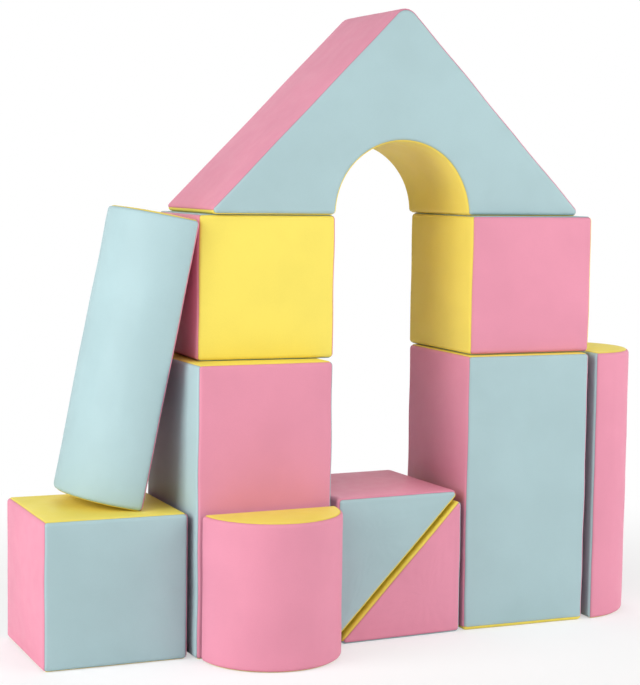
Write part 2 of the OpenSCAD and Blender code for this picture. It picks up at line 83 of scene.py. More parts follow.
class Nodes:
    """A small builder for a node tree."""

    def __init__(self, tree: bpy.types.NodeTree) -> None:
        """Keeps the tree to build in."""
        self.tree = tree

    def node(self, kind: str, inputs: dict | None = None, **settings) -> bpy.types.Node:
        """Adds a node.

        Args:
            kind: The node's type name without its leading ShaderNode.
            inputs: Socket name or number to a value or to another node's output socket.
            settings: Properties of the node itself.

        Returns:
            The new node.
        """
        made = self.tree.nodes.new("ShaderNode" + kind)
        for key, value in settings.items():
            setattr(made, key, value)
        for key, value in (inputs or {}).items():
            if isinstance(value, Socket):
                self.tree.links.new(value, made.inputs[key])
            else:
                made.inputs[key].default_value = value
        return made

    def total(self, first: Socket, second: Socket, **settings) -> Socket:
        """The sum of two values."""
        return self.node("Math", {0: first, 1: second}, operation="ADD", **settings).outputs[0]

    def spread(self, value: Socket, low: tuple[float, float], high: tuple[float, float]) -> Socket:
        """Carries a value from one range to another, held at both ends.

        Args:
            value: The socket to read.
            low: The value to start from and the result there.
            high: The value to end at and the result there.

        Returns:
            The result's socket.
        """
        made = self.node("MapRange", {0: value, 1: low[0], 2: high[0], 3: low[1], 4: high[1]},
                         interpolation_type="SMOOTHSTEP")
        return made.outputs[0]

    def blend(self, factor: Socket, first: Colour | Socket, second: Colour | Socket) -> Socket:
        """Mixes two colours.

        Args:
            factor: The share of the second colour.
            first: A colour or a colour socket.
            second: A colour or a colour socket.

        Returns:
            The mixed colour's socket.
        """
        first, second = (c if isinstance(c, Socket) else (*c, 1.0) for c in (first, second))
        return self.node("Mix", {0: factor, 6: first, 7: second}, data_type="RGBA").outputs[2]


class Shader(Nodes):
    """One node material that reads the object's own coordinates."""

    def __init__(self, name: str) -> None:
        """Starts a material with an empty tree.

        Args:
            name: The material's name.
        """
        self.material = bpy.data.materials.new(name)
        self.material.use_nodes = True
        super().__init__(self.material.node_tree)
        self.tree.nodes.clear()
        self.where = self.node("TexCoord").outputs["Object"]

    def noise(self, scale: float, detail: float, roughness: float = 0.5,
              where: Socket | None = None) -> Socket:
        """Cloudy noise from 0 to 1.

        Args:
            scale: How many lumps there are in a metre.
            detail: How many finer layers it has.
            roughness: How much they count.
            where: Other coordinates than the object's own.

        Returns:
            The noise's socket.
        """
        made = self.node("TexNoise", {"Vector": self.where if where is None else where, "Scale": scale,
                                      "Detail": detail, "Roughness": roughness})
        return made.outputs["Fac"]

    def mottled(self, noise: Socket, colour: Colour, tones: tuple[float, float],
                start: float = 0.3) -> Socket:
        """A colour that goes from one tone of itself to another as a noise goes from start to 0.7."""
        share = self.spread(noise, (start, 0.0), (0.7, 1.0))
        return self.blend(share, toned(colour, tones[0]), toned(colour, tones[1]))

    def coated(self, inputs: dict) -> bpy.types.Material:
        """Ends the material with one principled surface that has these inputs."""
        return self.finish(self.node("BsdfPrincipled", inputs).outputs["BSDF"])

    def finish(self, surface: Socket) -> bpy.types.Material:
        """Links the surface to the output and returns the material."""
        self.node("OutputMaterial", {"Surface": surface})
        return self.material


def toned(colour: Colour, share: float) -> Colour:
    """A colour made darker or lighter by a factor."""
    return tuple(min(1.0, c * share) for c in colour)


@dataclass(frozen=True)
class CoatedCloth:
    """Satin coated cloth with a fine pebble grain, and painted shade that darkens it in the seams."""

    name: str
    colour: Colour
    seam_shade_colour: Colour
    roughness: float = 0.5
    gloss: float = 0.15
    clouds_per_m: float = 5.0
    rubs_per_m: float = 38.0
    grain_per_m: float = 640.0
    grain_depth: float = 0.12 * MM
    seam_shade_mm: float = 2.4

    def make(self) -> bpy.types.Material:
        """Builds the material."""
        sh = Shader(self.name)
        body = sh.mottled(sh.noise(self.clouds_per_m, 3.0, 0.55), self.colour, (0.96, 1.035))
        cells = sh.node("TexVoronoi", {"Vector": sh.where, "Scale": self.grain_per_m, "Smoothness": 0.7},
                        feature="SMOOTH_F1").outputs["Distance"]
        pits = sh.spread(cells, (0.1, 0.0), (0.75, 1.0))
        body = sh.blend(sh.spread(pits, (0.0, 0.0), (1.0, 0.22)), body, toned(self.colour, 0.9))
        # Painted shade: within a few millimetres of each seam the colour blends towards a darker seam colour.
        seam = sh.node("Attribute", attribute_name="seam").outputs["Fac"]
        body = sh.blend(sh.spread(seam, (0.2, 0.6), (self.seam_shade_mm, 0.0)), body, self.seam_shade_colour)
        rough = sh.spread(sh.noise(self.rubs_per_m, 4.0), (0.25, self.roughness - 0.05),
                          (0.75, self.roughness + 0.06))
        grain = sh.total(cells, sh.noise(self.grain_per_m * 2.3, 2.0))
        bump = sh.node("Bump", {"Strength": 0.3, "Distance": self.grain_depth, "Height": grain}, invert=True)
        return sh.coated({"Base Color": body, "Roughness": rough, "Normal": bump.outputs["Normal"],
                          "Specular IOR Level": self.gloss})


@dataclass(frozen=True)
class CutFoam:
    """Matte cut foam with open pores."""

    name: str
    colour: Colour
    roughness: float = 0.92
    gloss: float = 0.2
    stains_per_m: float = 7.0
    pores_per_m: float = 520.0
    pore_depth: float = 0.6 * MM

    def make(self) -> bpy.types.Material:
        """Builds the material."""
        sh = Shader(self.name)
        body = sh.mottled(sh.noise(self.stains_per_m, 4.0), self.colour, (0.93, 1.0))
        pores = sh.node("TexVoronoi", {"Vector": sh.where, "Scale": self.pores_per_m}).outputs["Distance"]
        body = sh.blend(sh.spread(pores, (0.35, 0.0), (0.75, 0.5)), body, toned(self.colour, 0.72))
        bump = sh.node("Bump", {"Strength": 0.5, "Distance": self.pore_depth, "Height": pores}, invert=True)
        return sh.coated({"Base Color": body, "Roughness": self.roughness, "Normal": bump.outputs["Normal"],
                          "Specular IOR Level": self.gloss})


@dataclass(frozen=True)
class ZipCoil:
    """Dyed nylon coil, slightly glossy, with dust between its turns."""

    name: str
    colour: Colour
    dust_per_m: float = 420.0

    def make(self) -> bpy.types.Material:
        """Builds the material."""
        sh = Shader(self.name)
        dust = sh.noise(self.dust_per_m, 3.0)
        body = sh.mottled(dust, self.colour, (1.0, 0.82), start=0.35)
        return sh.coated({"Base Color": body, "Roughness": sh.spread(dust, (0.3, 0.3), (0.7, 0.45))})


@dataclass(frozen=True)
class SatinNickel:
    """Plated metal with fine rubbed streaks."""

    name: str
    colour: Colour
    streaks_per_m: tuple[float, float, float] = (300.0, 2400.0, 2400.0)

    def make(self) -> bpy.types.Material:
        """Builds the material."""
        sh = Shader(self.name)
        drawn = sh.node("Mapping", {"Vector": sh.where, "Scale": self.streaks_per_m}).outputs["Vector"]
        streak = sh.noise(1.0, 5.0, where=drawn)
        body = sh.mottled(streak, self.colour, (0.88, 1.0))
        return sh.coated({"Base Color": body, "Roughness": sh.spread(streak, (0.3, 0.26), (0.7, 0.42)),
                          "Metallic": 1.0})


# The second colour of each cloth is the painted shade in its seams.
FINISHES = {
    Cloth.BLUE: CoatedCloth("coated_cloth_blue", (0.368, 0.510, 0.532), (0.190, 0.300, 0.320)),
    Cloth.PINK: CoatedCloth("coated_cloth_pink", (0.705, 0.270, 0.368), (0.450, 0.110, 0.180)),
    Cloth.YELLOW: CoatedCloth("coated_cloth_yellow", (0.835, 0.690, 0.120), (0.610, 0.450, 0.045)),
}
COILS = {cloth: ZipCoil(f"zip_coil_{cloth.name.lower()}", toned(finish.colour, 0.8))
         for cloth, finish in FINISHES.items()}
FOAM_FINISH = CutFoam("cut_foam", (0.900, 0.850, 0.720))
NICKEL = SatinNickel("satin_nickel", (0.620, 0.630, 0.650))


# Meshes from grids


@dataclass
class Skin:
    """Points, four-sided faces and the seam distance in millimetres of one surface."""

    points: np.ndarray
    quads: np.ndarray
    seam: np.ndarray


def grid_quads(rows: int, columns: int, wrap: bool = False, flip: bool = False) -> np.ndarray:
    """Corner numbers of the faces of a grid that is stored row by row.

    Args:
        rows: How many rows.
        columns: How many points in a row.
        wrap: Whether the last row joins the first.
        flip: Whether the faces look the other way.

    Returns:
        An array of four corner numbers for each face.
    """
    number = np.arange(rows * columns).reshape(rows, columns)
    if wrap:
        number = np.vstack([number, number[:1]])
    corners = [number[:-1, :-1], number[1:, :-1], number[1:, 1:], number[:-1, 1:]]
    quads = np.stack([c.ravel() for c in corners], axis=1)
    return quads[:, ::-1] if flip else quads


def grid_skin(grid: np.ndarray, wrap: bool = False, flip: bool = False,
              seam_mm: float = FAR_SEAM_MM) -> Skin:
    """A grid of points as a surface that is equally far from a seam all over.

    Args:
        grid: Rows and columns of points.
        wrap: Whether the last row joins the first.
        flip: Whether the faces look the other way.
        seam_mm: The way to the seam.

    Returns:
        The surface.
    """
    rows, columns = grid.shape[:2]
    return Skin(grid.reshape(-1, 3), grid_quads(rows, columns, wrap, flip), np.full(rows * columns, seam_mm))


def joined(skins: list[Skin]) -> Skin:
    """Several surfaces as one, with their faces renumbered."""
    starts = np.cumsum([0] + [len(s.points) for s in skins[:-1]])
    return Skin(np.vstack([s.points for s in skins]),
                np.vstack([s.quads + n for s, n in zip(skins, starts)]),
                np.concatenate([s.seam for s in skins]))


def closed(grid: np.ndarray) -> np.ndarray:
    """A grid whose columns come round to the first one again."""
    return np.concatenate([grid, grid[:, :1]], axis=1)


def welded(skin: Skin) -> tuple[Skin, np.ndarray, np.ndarray]:
    """Merges points that fall together, so poles and joins close.

    Points are one if they lie in the same cell of a fine grid, which is offset so that round lengths
    don't fall on its lines.

    Args:
        skin: A surface with points that may lie on each other.

    Returns:
        The surface with its four-sided faces, its three-sided faces, and each point's new number.
    """
    keys = np.floor(skin.points / WELD + WELD_OFFSET).astype(np.int64)
    _, first, place = np.unique(keys, axis=0, return_index=True, return_inverse=True)
    place = place.reshape(-1)
    quads = place[skin.quads]
    same = quads == np.roll(quads, -1, axis=1)
    count = same.sum(axis=1)
    threes = quads[count == 1][~same[count == 1]].reshape(-1, 3)
    return Skin(skin.points[first], quads[count == 0], skin.seam[first]), threes, place


def mesh_object(name: str, skin: Skin, sharp_deg: float = 50.0) -> bpy.types.Object:
    """Puts a surface into a new mesh object at the origin.

    Args:
        name: The object's name.
        skin: The surface, in the row frame.
        sharp_deg: Edges that turn by more than this stay sharp.

    Returns:
        The object, linked to the scene.
    """
    whole, threes, _ = welded(skin)
    mesh = bpy.data.meshes.new(name)
    mesh.from_pydata(whole.points.tolist(), [], whole.quads.tolist() + threes.tolist())
    seam = mesh.attributes.new("seam", "FLOAT", "POINT")
    seam.data.foreach_set("value", whole.seam.astype(np.float32))
    mesh.polygons.foreach_set("use_smooth", np.ones(len(mesh.polygons), bool))
    mesh.set_sharp_from_angle(angle=math.radians(sharp_deg))
    mesh.update()
    made = bpy.data.objects.new(name, mesh)
    bpy.context.scene.collection.objects.link(made)
    return made


def tube(path: np.ndarray, radius: float, sides: int) -> Skin:
    """A round wire along a closed path: each ring stands square to the path's own direction.

    Args:
        path: The closed path's points, without a repeated last point.
        radius: The wire's radius.
        sides: How many points there are round the wire.

    Returns:
        The closed surface.
    """
    along = np.roll(path, -1, axis=0) - np.roll(path, 1, axis=0)
    along /= np.linalg.norm(along, axis=1, keepdims=True)
    side = np.cross(along, (0.0, 0.0, 1.0))
    side /= np.linalg.norm(side, axis=1, keepdims=True)
    up = np.cross(side, along)
    angle = np.linspace(0, 2 * math.pi, sides, endpoint=False)
    ring = np.cos(angle)[None, :, None] * side[:, None] + np.sin(angle)[None, :, None] * up[:, None]
    return grid_skin(closed(path[:, None] + radius * ring), wrap=True)


def moved(points: np.ndarray, place: np.ndarray) -> np.ndarray:
    """Points carried by a matrix."""
    return points @ place[:3, :3].T + place[:3, 3]


def shift(x: float, y: float, z: float) -> np.ndarray:
    """A move, as a matrix."""
    made = np.eye(4)
    made[:3, 3] = (x, y, z)
    return made


def turn(axis: str, degrees: float) -> np.ndarray:
    """A turn about one axis, as a matrix."""
    return np.array(Matrix.Rotation(math.radians(degrees), 4, axis))


# Outlines


@dataclass(frozen=True)
class Wall:
    """One wall of an outline from seam to seam, in the outline's plane.

    The run is the way along the wall from its first seam. The rim is the angle, out of the outline's
    plane, at which the wall's cloth meets that of the face. A fold is an end with no seam.
    """

    name: str
    points: np.ndarray
    normals: np.ndarray
    rim: np.ndarray
    crown: float = 0.0
    first_fold: bool = False
    last_fold: bool = False

    @property
    def run(self) -> np.ndarray:
        """The way from the first seam to each point."""
        steps = np.linalg.norm(np.diff(self.points, axis=0), axis=1)
        return np.concatenate([[0.0], np.cumsum(steps)])

    @property
    def core(self) -> np.ndarray:
        """The middle of the rim's rounding below each point."""
        return self.points - MAKE.edge * self.normals

    @property
    def flat_core(self) -> np.ndarray:
        """The core without the rounded corners at both ends."""
        return self.core[MAKE.arc_steps:len(self.points) - MAKE.arc_steps]


def crowded(steps: int, power: float = 1.6) -> np.ndarray:
    """Shares from 0 to 1 that crowd towards 0: (i / steps) to a power."""
    return (np.arange(steps + 1) / steps) ** power


def arc(centre: np.ndarray, radius: float, angles: np.ndarray, hollow: bool = False) -> Piece:
    """Points and outward normals on a circle, centre + radius * (cos, sin).

    Args:
        centre: The circle's middle.
        radius: Its radius.
        angles: The angles in radians.
        hollow: Whether outward is towards the middle.

    Returns:
        The points and the normals.
    """
    out = np.stack([np.cos(angles), np.sin(angles)], axis=1)
    return centre + radius * out, -out if hollow else out


def straight(start: np.ndarray, stop: np.ndarray, steps: int) -> Piece:
    """Points from start to stop and their normal, to the right of the way."""
    share = np.linspace(0, 1, steps + 1)[:, None]
    way = (stop - start) / np.linalg.norm(stop - start)
    return start + share * (stop - start), np.tile([way[1], -way[0]], (steps + 1, 1))


@dataclass(frozen=True)
class Corner:
    """A rounded corner of an outline.

    Before and after are the directions that the walls beside it face, the seam is the direction in
    which they meet, and the rim is the angle at which a face takes over there.
    """

    centre: np.ndarray
    radius: float
    before: float
    after: float
    seam: float
    rim: float = HALF_WAY

    def leaving(self) -> Piece:
        """From the seam to the wall after it."""
        share = crowded(MAKE.arc_steps)
        return arc(self.centre, self.radius, self.seam + (self.after - self.seam) * share)

    def reaching(self) -> Piece:
        """From the wall before it to the seam."""
        share = crowded(MAKE.arc_steps)[::-1]
        return arc(self.centre, self.radius, self.seam + (self.before - self.seam) * share)


def traced(name: str, first: Corner, parts: list[Piece], last: Corner, rim: float = HALF_WAY,
           **facts) -> Wall:
    """A wall from one corner's seam to the next.

    Args:
        name: The wall's name.
        first: The corner that it starts at.
        parts: What lies between the corners.
        last: The corner that it ends at.
        rim: The rim's angle along the wall, which eases to the corners' own.
        facts: Other fields of the wall.

    Returns:
        The wall, with doubled points left out.
    """
    pieces = [first.leaving(), *parts, last.reaching()]
    points = np.vstack([pieces[0][0]] + [p[1:] for p, _ in pieces[1:]])
    normals = np.vstack([pieces[0][1]] + [n[1:] for _, n in pieces[1:]])
    ease, angles = crowded(MAKE.arc_steps), np.full(len(points), rim)
    angles[:len(ease)] = first.rim + (rim - first.rim) * ease
    angles[-len(ease):] = last.rim + (rim - last.rim) * ease[::-1]
    return Wall(name, points, normals, angles, **facts)


def plain_wall(name: str, first: Corner, last: Corner, rim: float = HALF_WAY, **facts) -> Wall:
    """A straight wall between two rounded corners."""
    start, stop = first.leaving()[0][-1], last.reaching()[0][0]
    steps = max(4, round(np.linalg.norm(stop - start) / MAKE.step))
    return traced(name, first, [straight(start, stop, steps)], last, rim, **facts)


def polygon_corners(points: list[tuple[float, float]], radius: float) -> list[Corner]:
    """Rounded corners of a polygon that is given counter-clockwise.

    Args:
        points: The sharp corners.
        radius: The rounding.

    Returns:
        One corner for each point, with its seam half way round.
    """
    sharp = np.array(points, float)
    way = np.roll(sharp, -1, axis=0) - sharp
    facing = np.unwrap(np.arctan2(-way[:, 0], way[:, 1]))
    corners = []
    for i, point in enumerate(sharp):
        before = facing[i - 1] - (2 * math.pi if i == 0 else 0.0)
        middle, half = (before + facing[i]) / 2, (facing[i] - before) / 2
        inwards = np.array([math.cos(middle), math.sin(middle)]) * radius / math.cos(half)
        corners.append(Corner(point - inwards, radius, before, facing[i], middle))
    return corners


def seam_beside(corner: Corner, low: float, after: bool) -> Corner:
    """A corner whose seam is drawn close to one of its walls.

    Args:
        corner: The corner with its seam half way.
        low: The angle between the seam and that wall.
        after: Whether that wall is the one after the corner.

    Returns:
        The changed corner.
    """
    seam = corner.after - low if after else corner.before + low
    return replace(corner, seam=seam, rim=low)


def four_sided(first: np.ndarray, second: np.ndarray, left: np.ndarray, right: np.ndarray) -> np.ndarray:
    """A grid between four lines.

    It blends them: (1 - v) * first + v * second + (1 - u) * left + u * right, less the same blend of
    the four corners.

    Args:
        first: The line at v = 0, from left to right.
        second: The line at v = 1, from left to right.
        left: The line at u = 0, from first to second.
        right: The line at u = 1, from first to second.

    Returns:
        Rows from first to second.
    """
    u = np.linspace(0, 1, len(first))[None, :, None]
    v = np.linspace(0, 1, len(left))[:, None, None]
    ruled = (1 - v) * first[None] + v * second[None] + (1 - u) * left[:, None] + u * right[:, None]
    low = (1 - u) * first[0] + u * first[-1]
    return ruled - (1 - v) * low - v * ((1 - u) * second[0] + u * second[-1])


# Blocks


@dataclass(frozen=True)
class Panel:
    """One node of a cover: its name, its colour, and the walls or faces that it is cut from."""

    name: str
    cloth: Cloth
    walls: tuple[str, ...] = ()
    faces: bool = False

    @property
    def parts(self) -> tuple[str, ...]:
        """The names of its parts."""
        return self.walls + (("face_low", "face_high") if self.faces else ())


@dataclass(frozen=True)
class Make:
    """What all covers share: their build, the fineness of their grids, and their small unevenness."""

    edge: float = 10 * MM
    cloth: float = 1 * MM
    cover_fill: float = 0.9
    foam_inset: float = 1.4 * MM
    foam_fill: float = 0.95
    step: float = 8.5 * MM
    arc_steps: int = 6
    rings: int = 18
    low_seam: float = math.radians(30)
    swell_reach: float = 46 * MM
    clamp: float = 12 * MM
    seam_depth: float = 0.8 * MM
    seam_width: float = 3.2 * MM
    ripple: float = 0.22 * MM
    ripple_length: float = 47 * MM
    ripple_start: float = 8 * MM
    ripple_reach: float = 24 * MM
    ripple_slant: float = 0.35
    ripple_drift: float = 3.0
    crown_drift: float = 0.1
    sway: float = 1.1 * MM
    sway_reach: float = 90 * MM
    zip_reach: float = 42 * MM
    zip_pin: float = 18 * MM


MAKE = Make()
TOUCH = 1e-6


def waves(points: np.ndarray, seed: int) -> np.ndarray:
    """Slow uneven waves from -1 to 1: a sum of sines along fixed directions, shifted by the seed."""
    ways = np.array([[31, 7, 11], [-13, 29, 17], [9, -21, 34], [37, 23, -15], [-19, 12, 41.0]])
    phases = np.array([0.3, 1.9, 4.1, 2.7, 5.2]) + 1.37 * seed * np.arange(1, 6)
    return np.sin(points @ ways.T + phases).sum(axis=-1) / 5


@dataclass
class Patch:
    """A plain grid of a cover, in p, q and w, before it is dressed.

    Sides are the ways from the edges of the free part, which lie at the start of the rounding, and
    seam is the way from the nearest seam. The bulge is how far the free part is blown up.
    """

    grid: np.ndarray
    normals: np.ndarray
    sides: list[np.ndarray]
    seam: np.ndarray
    along: np.ndarray
    crown: float
    closes: bool = False
    folds: tuple[bool, bool] = (False, False)
    free: tuple[slice, slice] = (slice(None), slice(None))
    bulge: np.ndarray | None = None

    @property
    def clear(self) -> np.ndarray:
        """The way from the nearest edge of the free part, and 0 outside it."""
        return np.maximum(np.minimum.reduce(self.sides), 0)

    def swell(self) -> np.ndarray:
        """The bulge without a simulation.

        The crown times the product over the sides of 1 - exp(-(distance / reach) ** 1.5).
        """
        full = np.full(self.seam.shape, self.crown)
        for side in self.sides:
            full = full * (1 - np.exp(-(np.maximum(side, 0) / MAKE.swell_reach) ** 1.5))
        return full


@dataclass
class SoftBlock:
    """A foam core in a sewn cover: the base of every block.

    Fields:
        name: The body's name, which starts its nodes' names too.
        place: From the block's frame to the row frame.
        depth: Length of the prism.
        axes: How the prism lies in the block's frame.
        panels: The cover's nodes.
        face_crown: Swell of the two faces, lower and upper along the depth.
        seed: Shifts the cover's waves.
        zip_cloth: The colour of the panel that carries its zip.
        outline: The outline's walls, once they are laid out.
        parts: The patches of each wall and face, once they are laid out.
    """

    name: str
    place: np.ndarray
    depth: float
    axes: Axes
    panels: list[Panel]
    face_crown: tuple[float, float]
    seed: int
    zip_cloth: Cloth
    outline: list[Wall] = field(default_factory=list)
    parts: dict[str, list[Patch]] = field(default_factory=dict)

    def walls(self) -> list[Wall]:
        """The outline's walls, counter-clockwise."""
        raise NotImplementedError

    def face_sides(self, points: np.ndarray) -> list[np.ndarray]:
        """From points in the outline's plane to each side of the flat part of a face."""
        raise NotImplementedError

    def filling(self, core: np.ndarray) -> np.ndarray:
        """The grid of the flat part of a face, inside the closed line of its core."""
        raise NotImplementedError

    def zip_place(self) -> np.ndarray:
        """From the zip's frame, with x along it and z outwards, to the block's frame."""
        raise NotImplementedError

    def rings(self, core: np.ndarray, middle: np.ndarray) -> np.ndarray:
        """A filling of rings, each the core drawn in towards a middle, from the outside in."""
        share = np.linspace(1, 0, MAKE.rings + 1)[:, None, None]
        return middle + share * (core[None] - middle)

    def to_block(self, grid: np.ndarray) -> np.ndarray:
        """From the prism's p, q and w to the block's frame."""
        return grid @ np.array(self.axes.value, float)

    def to_row(self, points: np.ndarray) -> np.ndarray:
        """From the block's frame to the row frame."""
        return moved(points, self.place)

    @property
    def turns_over(self) -> bool:
        """Whether the prism's frame is mirrored in the block's."""
        return np.linalg.det(np.array(self.axes.value, float)) < 0

    def zip_distance(self, points: np.ndarray) -> np.ndarray:
        """From points in the block's frame to the middle line of the zip."""
        local = moved(points, np.linalg.inv(self.zip_place()))
        beyond = np.maximum(np.abs(local[..., 0]) - Zip.length / 2, 0)
        return np.sqrt(beyond ** 2 + local[..., 1] ** 2 + local[..., 2] ** 2)

    def lay_out(self) -> None:
        """Makes the plain patches of all walls and faces."""
        self.outline = self.walls()
        self.parts = {wall.name: [self.wall_patch(wall)] for wall in self.outline}
        self.parts["face_low"] = self.face_patches(-1)
        self.parts["face_high"] = self.face_patches(1)

    def wall_patch(self, wall: Wall) -> Patch:
        """A wall: its outline carried along the depth, with both rims rolled in.

        Points are core + edge * (cos(angle) * normal, sin(angle)).

        Args:
            wall: The wall.

        Returns:
            Its patch.
        """
        steps = MAKE.arc_steps
        lean = 1 - crowded(steps)
        half = self.depth / 2 - MAKE.edge
        flat = np.linspace(-half, half, max(2, round(2 * half / MAKE.step)) + 1)
        deep = np.concatenate([np.full(steps, -half), flat, np.full(steps, half)])
        lean = np.concatenate([-lean[:-1], np.zeros(len(flat)), lean[::-1][1:]])
        angle = wall.rim[:, None] * lean[None]
        out = np.cos(angle)[..., None] * wall.normals[:, None]
        normals = np.concatenate([out, np.sin(angle)[..., None]], axis=2)
        middle = np.concatenate([np.broadcast_to(wall.core[:, None], out.shape),
                                 np.broadcast_to(deep[None, :, None], (*angle.shape, 1))], axis=2)
        run = np.broadcast_to(wall.run[:, None], angle.shape)
        way = MAKE.edge * (wall.rim[:, None] + angle) + deep + half
        width = 2 * (MAKE.edge * wall.rim[:, None] + half)
        sewn = [way, width - way]
        sewn += [] if wall.first_fold else [run]
        sewn += [] if wall.last_fold else [wall.run[-1] - run]
        sides = [run - wall.run[steps], wall.run[-1 - steps] - run,
                 np.broadcast_to(deep + half, angle.shape), np.broadcast_to(half - deep, angle.shape)]
        free = (slice(steps, len(run) - steps), slice(steps, len(deep) - steps))
        return Patch(middle + MAKE.edge * normals, normals, sides, np.minimum.reduce(sewn),
                     run + MAKE.ripple_slant * way, wall.crown,
                     folds=(wall.first_fold, wall.last_fold), free=free)

    def face_patches(self, side: int) -> list[Patch]:
        """A face: the rolled rim from the seam inwards, and the flat filling.

        On a rim that is narrower than the seam's groove, the way from the seam counts for more, so that
        the groove ends where the filling starts.

        Args:
            side: -1 for the face at the start of the depth and 1 for the other.

        Returns:
            The rim and the filling.
        """
        core = np.vstack([w.core[:-1] for w in self.outline])
        outward = np.vstack([w.normals[:-1] for w in self.outline])
        rim = np.concatenate([w.rim[:-1] for w in self.outline])
        half = self.depth / 2 - MAKE.edge
        angle = rim + (math.pi / 2 - rim) * crowded(MAKE.arc_steps)[:, None]
        normals = np.concatenate([np.cos(angle)[..., None] * outward, side * np.sin(angle)[..., None]],
                                 axis=2)
        middle = np.broadcast_to(np.column_stack([core, np.full(len(core), side * half)]), normals.shape)
        none = [np.zeros(angle.shape)]
        way = MAKE.edge * (angle - rim)
        seam = way * np.maximum(1.0, MAKE.seam_width / way[-1])
        rolled = Patch(middle + MAKE.edge * normals, normals, none, seam, np.zeros(angle.shape), 0.0,
                       closes=True)
        fill = self.filling(core)
        level = np.full((*fill.shape[:2], 1), side * self.depth / 2)
        facing = np.zeros((*fill.shape[:2], 3))
        facing[..., 2] = side
        sides = self.face_sides(fill)
        seam = MAKE.edge * HALF_WAY + np.maximum(np.minimum.reduce(sides), 0)
        flat = Patch(np.concatenate([fill, level], axis=2), facing, sides, seam,
                     fill[..., 0] + MAKE.ripple_slant * fill[..., 1], self.face_crown[0 if side < 0 else 1],
                     closes=fill.shape[1] == len(core))
        return [rolled, flat]

    def dressed(self, patch: Patch, inset: float) -> np.ndarray:
        """Moves a plain patch to the form of a stretched cover.

        Outwards goes the bulge, with short ripples beside the edges: sin(along) times a bump that
        starts at the edge and dies away. Inwards goes a groove along each seam, depth *
        (1 - (distance / width) ** 2) ** 2. The whole block sways a little from side to side.

        Args:
            patch: The plain patch.
            inset: How far below the cover's outer face the surface lies.

        Returns:
            The points in the row frame.
        """
        block = self.to_block(patch.grid)
        apart = self.zip_distance(block)
        calm = 1 - np.exp(-(apart / MAKE.zip_reach) ** 2)
        slow = waves(block, self.seed)
        groove = np.maximum(0, 1 - (patch.seam / MAKE.seam_width) ** 2) ** 2
        lift = -inset - MAKE.seam_depth * groove
        if patch.crown:
            bulge = patch.swell() if patch.bulge is None else patch.bulge
            clear = patch.clear
            near = np.exp(-clear / MAKE.ripple_reach) * (1 - np.exp(-(clear / MAKE.ripple_start) ** 2))
            phase = 2 * math.pi * patch.along / MAKE.ripple_length + MAKE.ripple_drift * slow
            ripple = MAKE.ripple * np.sin(phase) * near
            lift = lift + calm * (bulge * (1 + MAKE.crown_drift * slow) + ripple)
        formed = block + lift[..., None] * self.to_block(patch.normals)
        sway = MAKE.sway * (1 - np.exp(-(apart / MAKE.sway_reach) ** 2))
        formed[..., 0] += sway * waves(block, self.seed + 3)
        formed[..., 1] += sway * waves(block, self.seed + 7)
        return self.to_row(formed)

    def surface(self, patch: Patch, inset: float, flip: bool) -> Skin:
        """A dressed patch as a surface.

        Args:
            patch: The plain patch.
            inset: How far below the cover's outer face.
            flip: Whether the grid's faces look inwards as they are stored.

        Returns:
            The surface.
        """
        grid, seam = self.dressed(patch, inset), patch.seam
        if patch.closes:
            grid, seam = closed(grid), closed(seam)
        return Skin(grid.reshape(-1, 3), grid_quads(*grid.shape[:2], flip=flip), seam.ravel() / MM)

    def looks_in(self, part: str) -> bool:
        """Whether the grids of a part look inwards as they are stored."""
        return (part == "face_high") != self.turns_over

    def cut_edge(self, patch: Patch, flip: bool) -> list[Skin]:
        """The cut edge of the cloth: strips between its outer and its inner face.

        Args:
            patch: The patch that ends at the seam.
            flip: Whether its grid looks inwards as it is stored.

        Returns:
            The strips.
        """
        outer, inner = self.dressed(patch, 0.0), self.dressed(patch, MAKE.cloth)
        if patch.closes:
            lines = [(closed(outer)[0], closed(inner)[0], True)]
        else:
            lines = [(outer[:, 0], inner[:, 0], False), (outer[:, -1], inner[:, -1], True)]
            lines += [] if patch.folds[0] else [(outer[0], inner[0], True)]
            lines += [] if patch.folds[1] else [(outer[-1], inner[-1], False)]
        return [grid_skin(np.stack([top, under]), flip=turn_over != flip, seam_mm=0.0)
                for top, under, turn_over in lines]

    def panel_skin(self, panel: Panel) -> Skin:
        """All the cloth of one panel node: outer faces, inner faces and cut edges."""
        skins = []
        for part in panel.parts:
            flip = self.looks_in(part)
            for patch in self.parts[part]:
                skins += [self.surface(patch, 0.0, flip), self.surface(patch, MAKE.cloth, not flip)]
            skins += self.cut_edge(self.parts[part][0], flip)
        return joined(skins)

    def foam_skin(self) -> Skin:
        """The foam core: all walls and faces of the cover, drawn in and closed."""
        return joined([self.surface(patch, MAKE.foam_inset, self.looks_in(part))
                       for part, patches in self.parts.items() for patch in patches])

    def build(self, finishes: dict[Cloth, bpy.types.Material], foam: bpy.types.Material) -> None:
        """Makes the core and the cover of this block and hands them to the frame.

        Args:
            finishes: The cloth materials by colour.
            foam: The core's material.
        """
        core = mesh_object(f"{self.name}_core", self.foam_skin())
        self.hand_over(core, foam, f"{self.name}_foam")
        for panel in self.panels:
            cover = mesh_object(f"{self.name}_{panel.name}_cover", self.panel_skin(panel))
            self.hand_over(cover, finishes[panel.cloth], f"{self.name}_{panel.name}")

    def hand_over(self, piece: bpy.types.Object, material: bpy.types.Material, node: str) -> None:
        """Dresses a padded piece and ties it to the frame.

        Args:
            piece: The mesh object.
            material: Its finish.
            node: The node that it stands for.
        """
        piece.data.materials.append(material)
        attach(piece, self.name)
        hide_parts(node)
        LOG.info("%s: %d faces", piece.name, len(piece.data.polygons))


def thinned(line: np.ndarray) -> np.ndarray:
    """Numbers of every second point of a line, the last one, and all that lie on a neighbour."""
    keep = np.arange(len(line)) % 2 == 0
    keep[-1] = True
    doubled = np.linalg.norm(np.diff(line, axis=0), axis=1) < WELD / 2
    keep[1:] |= doubled
    keep[:-1] |= doubled
    return np.flatnonzero(keep)


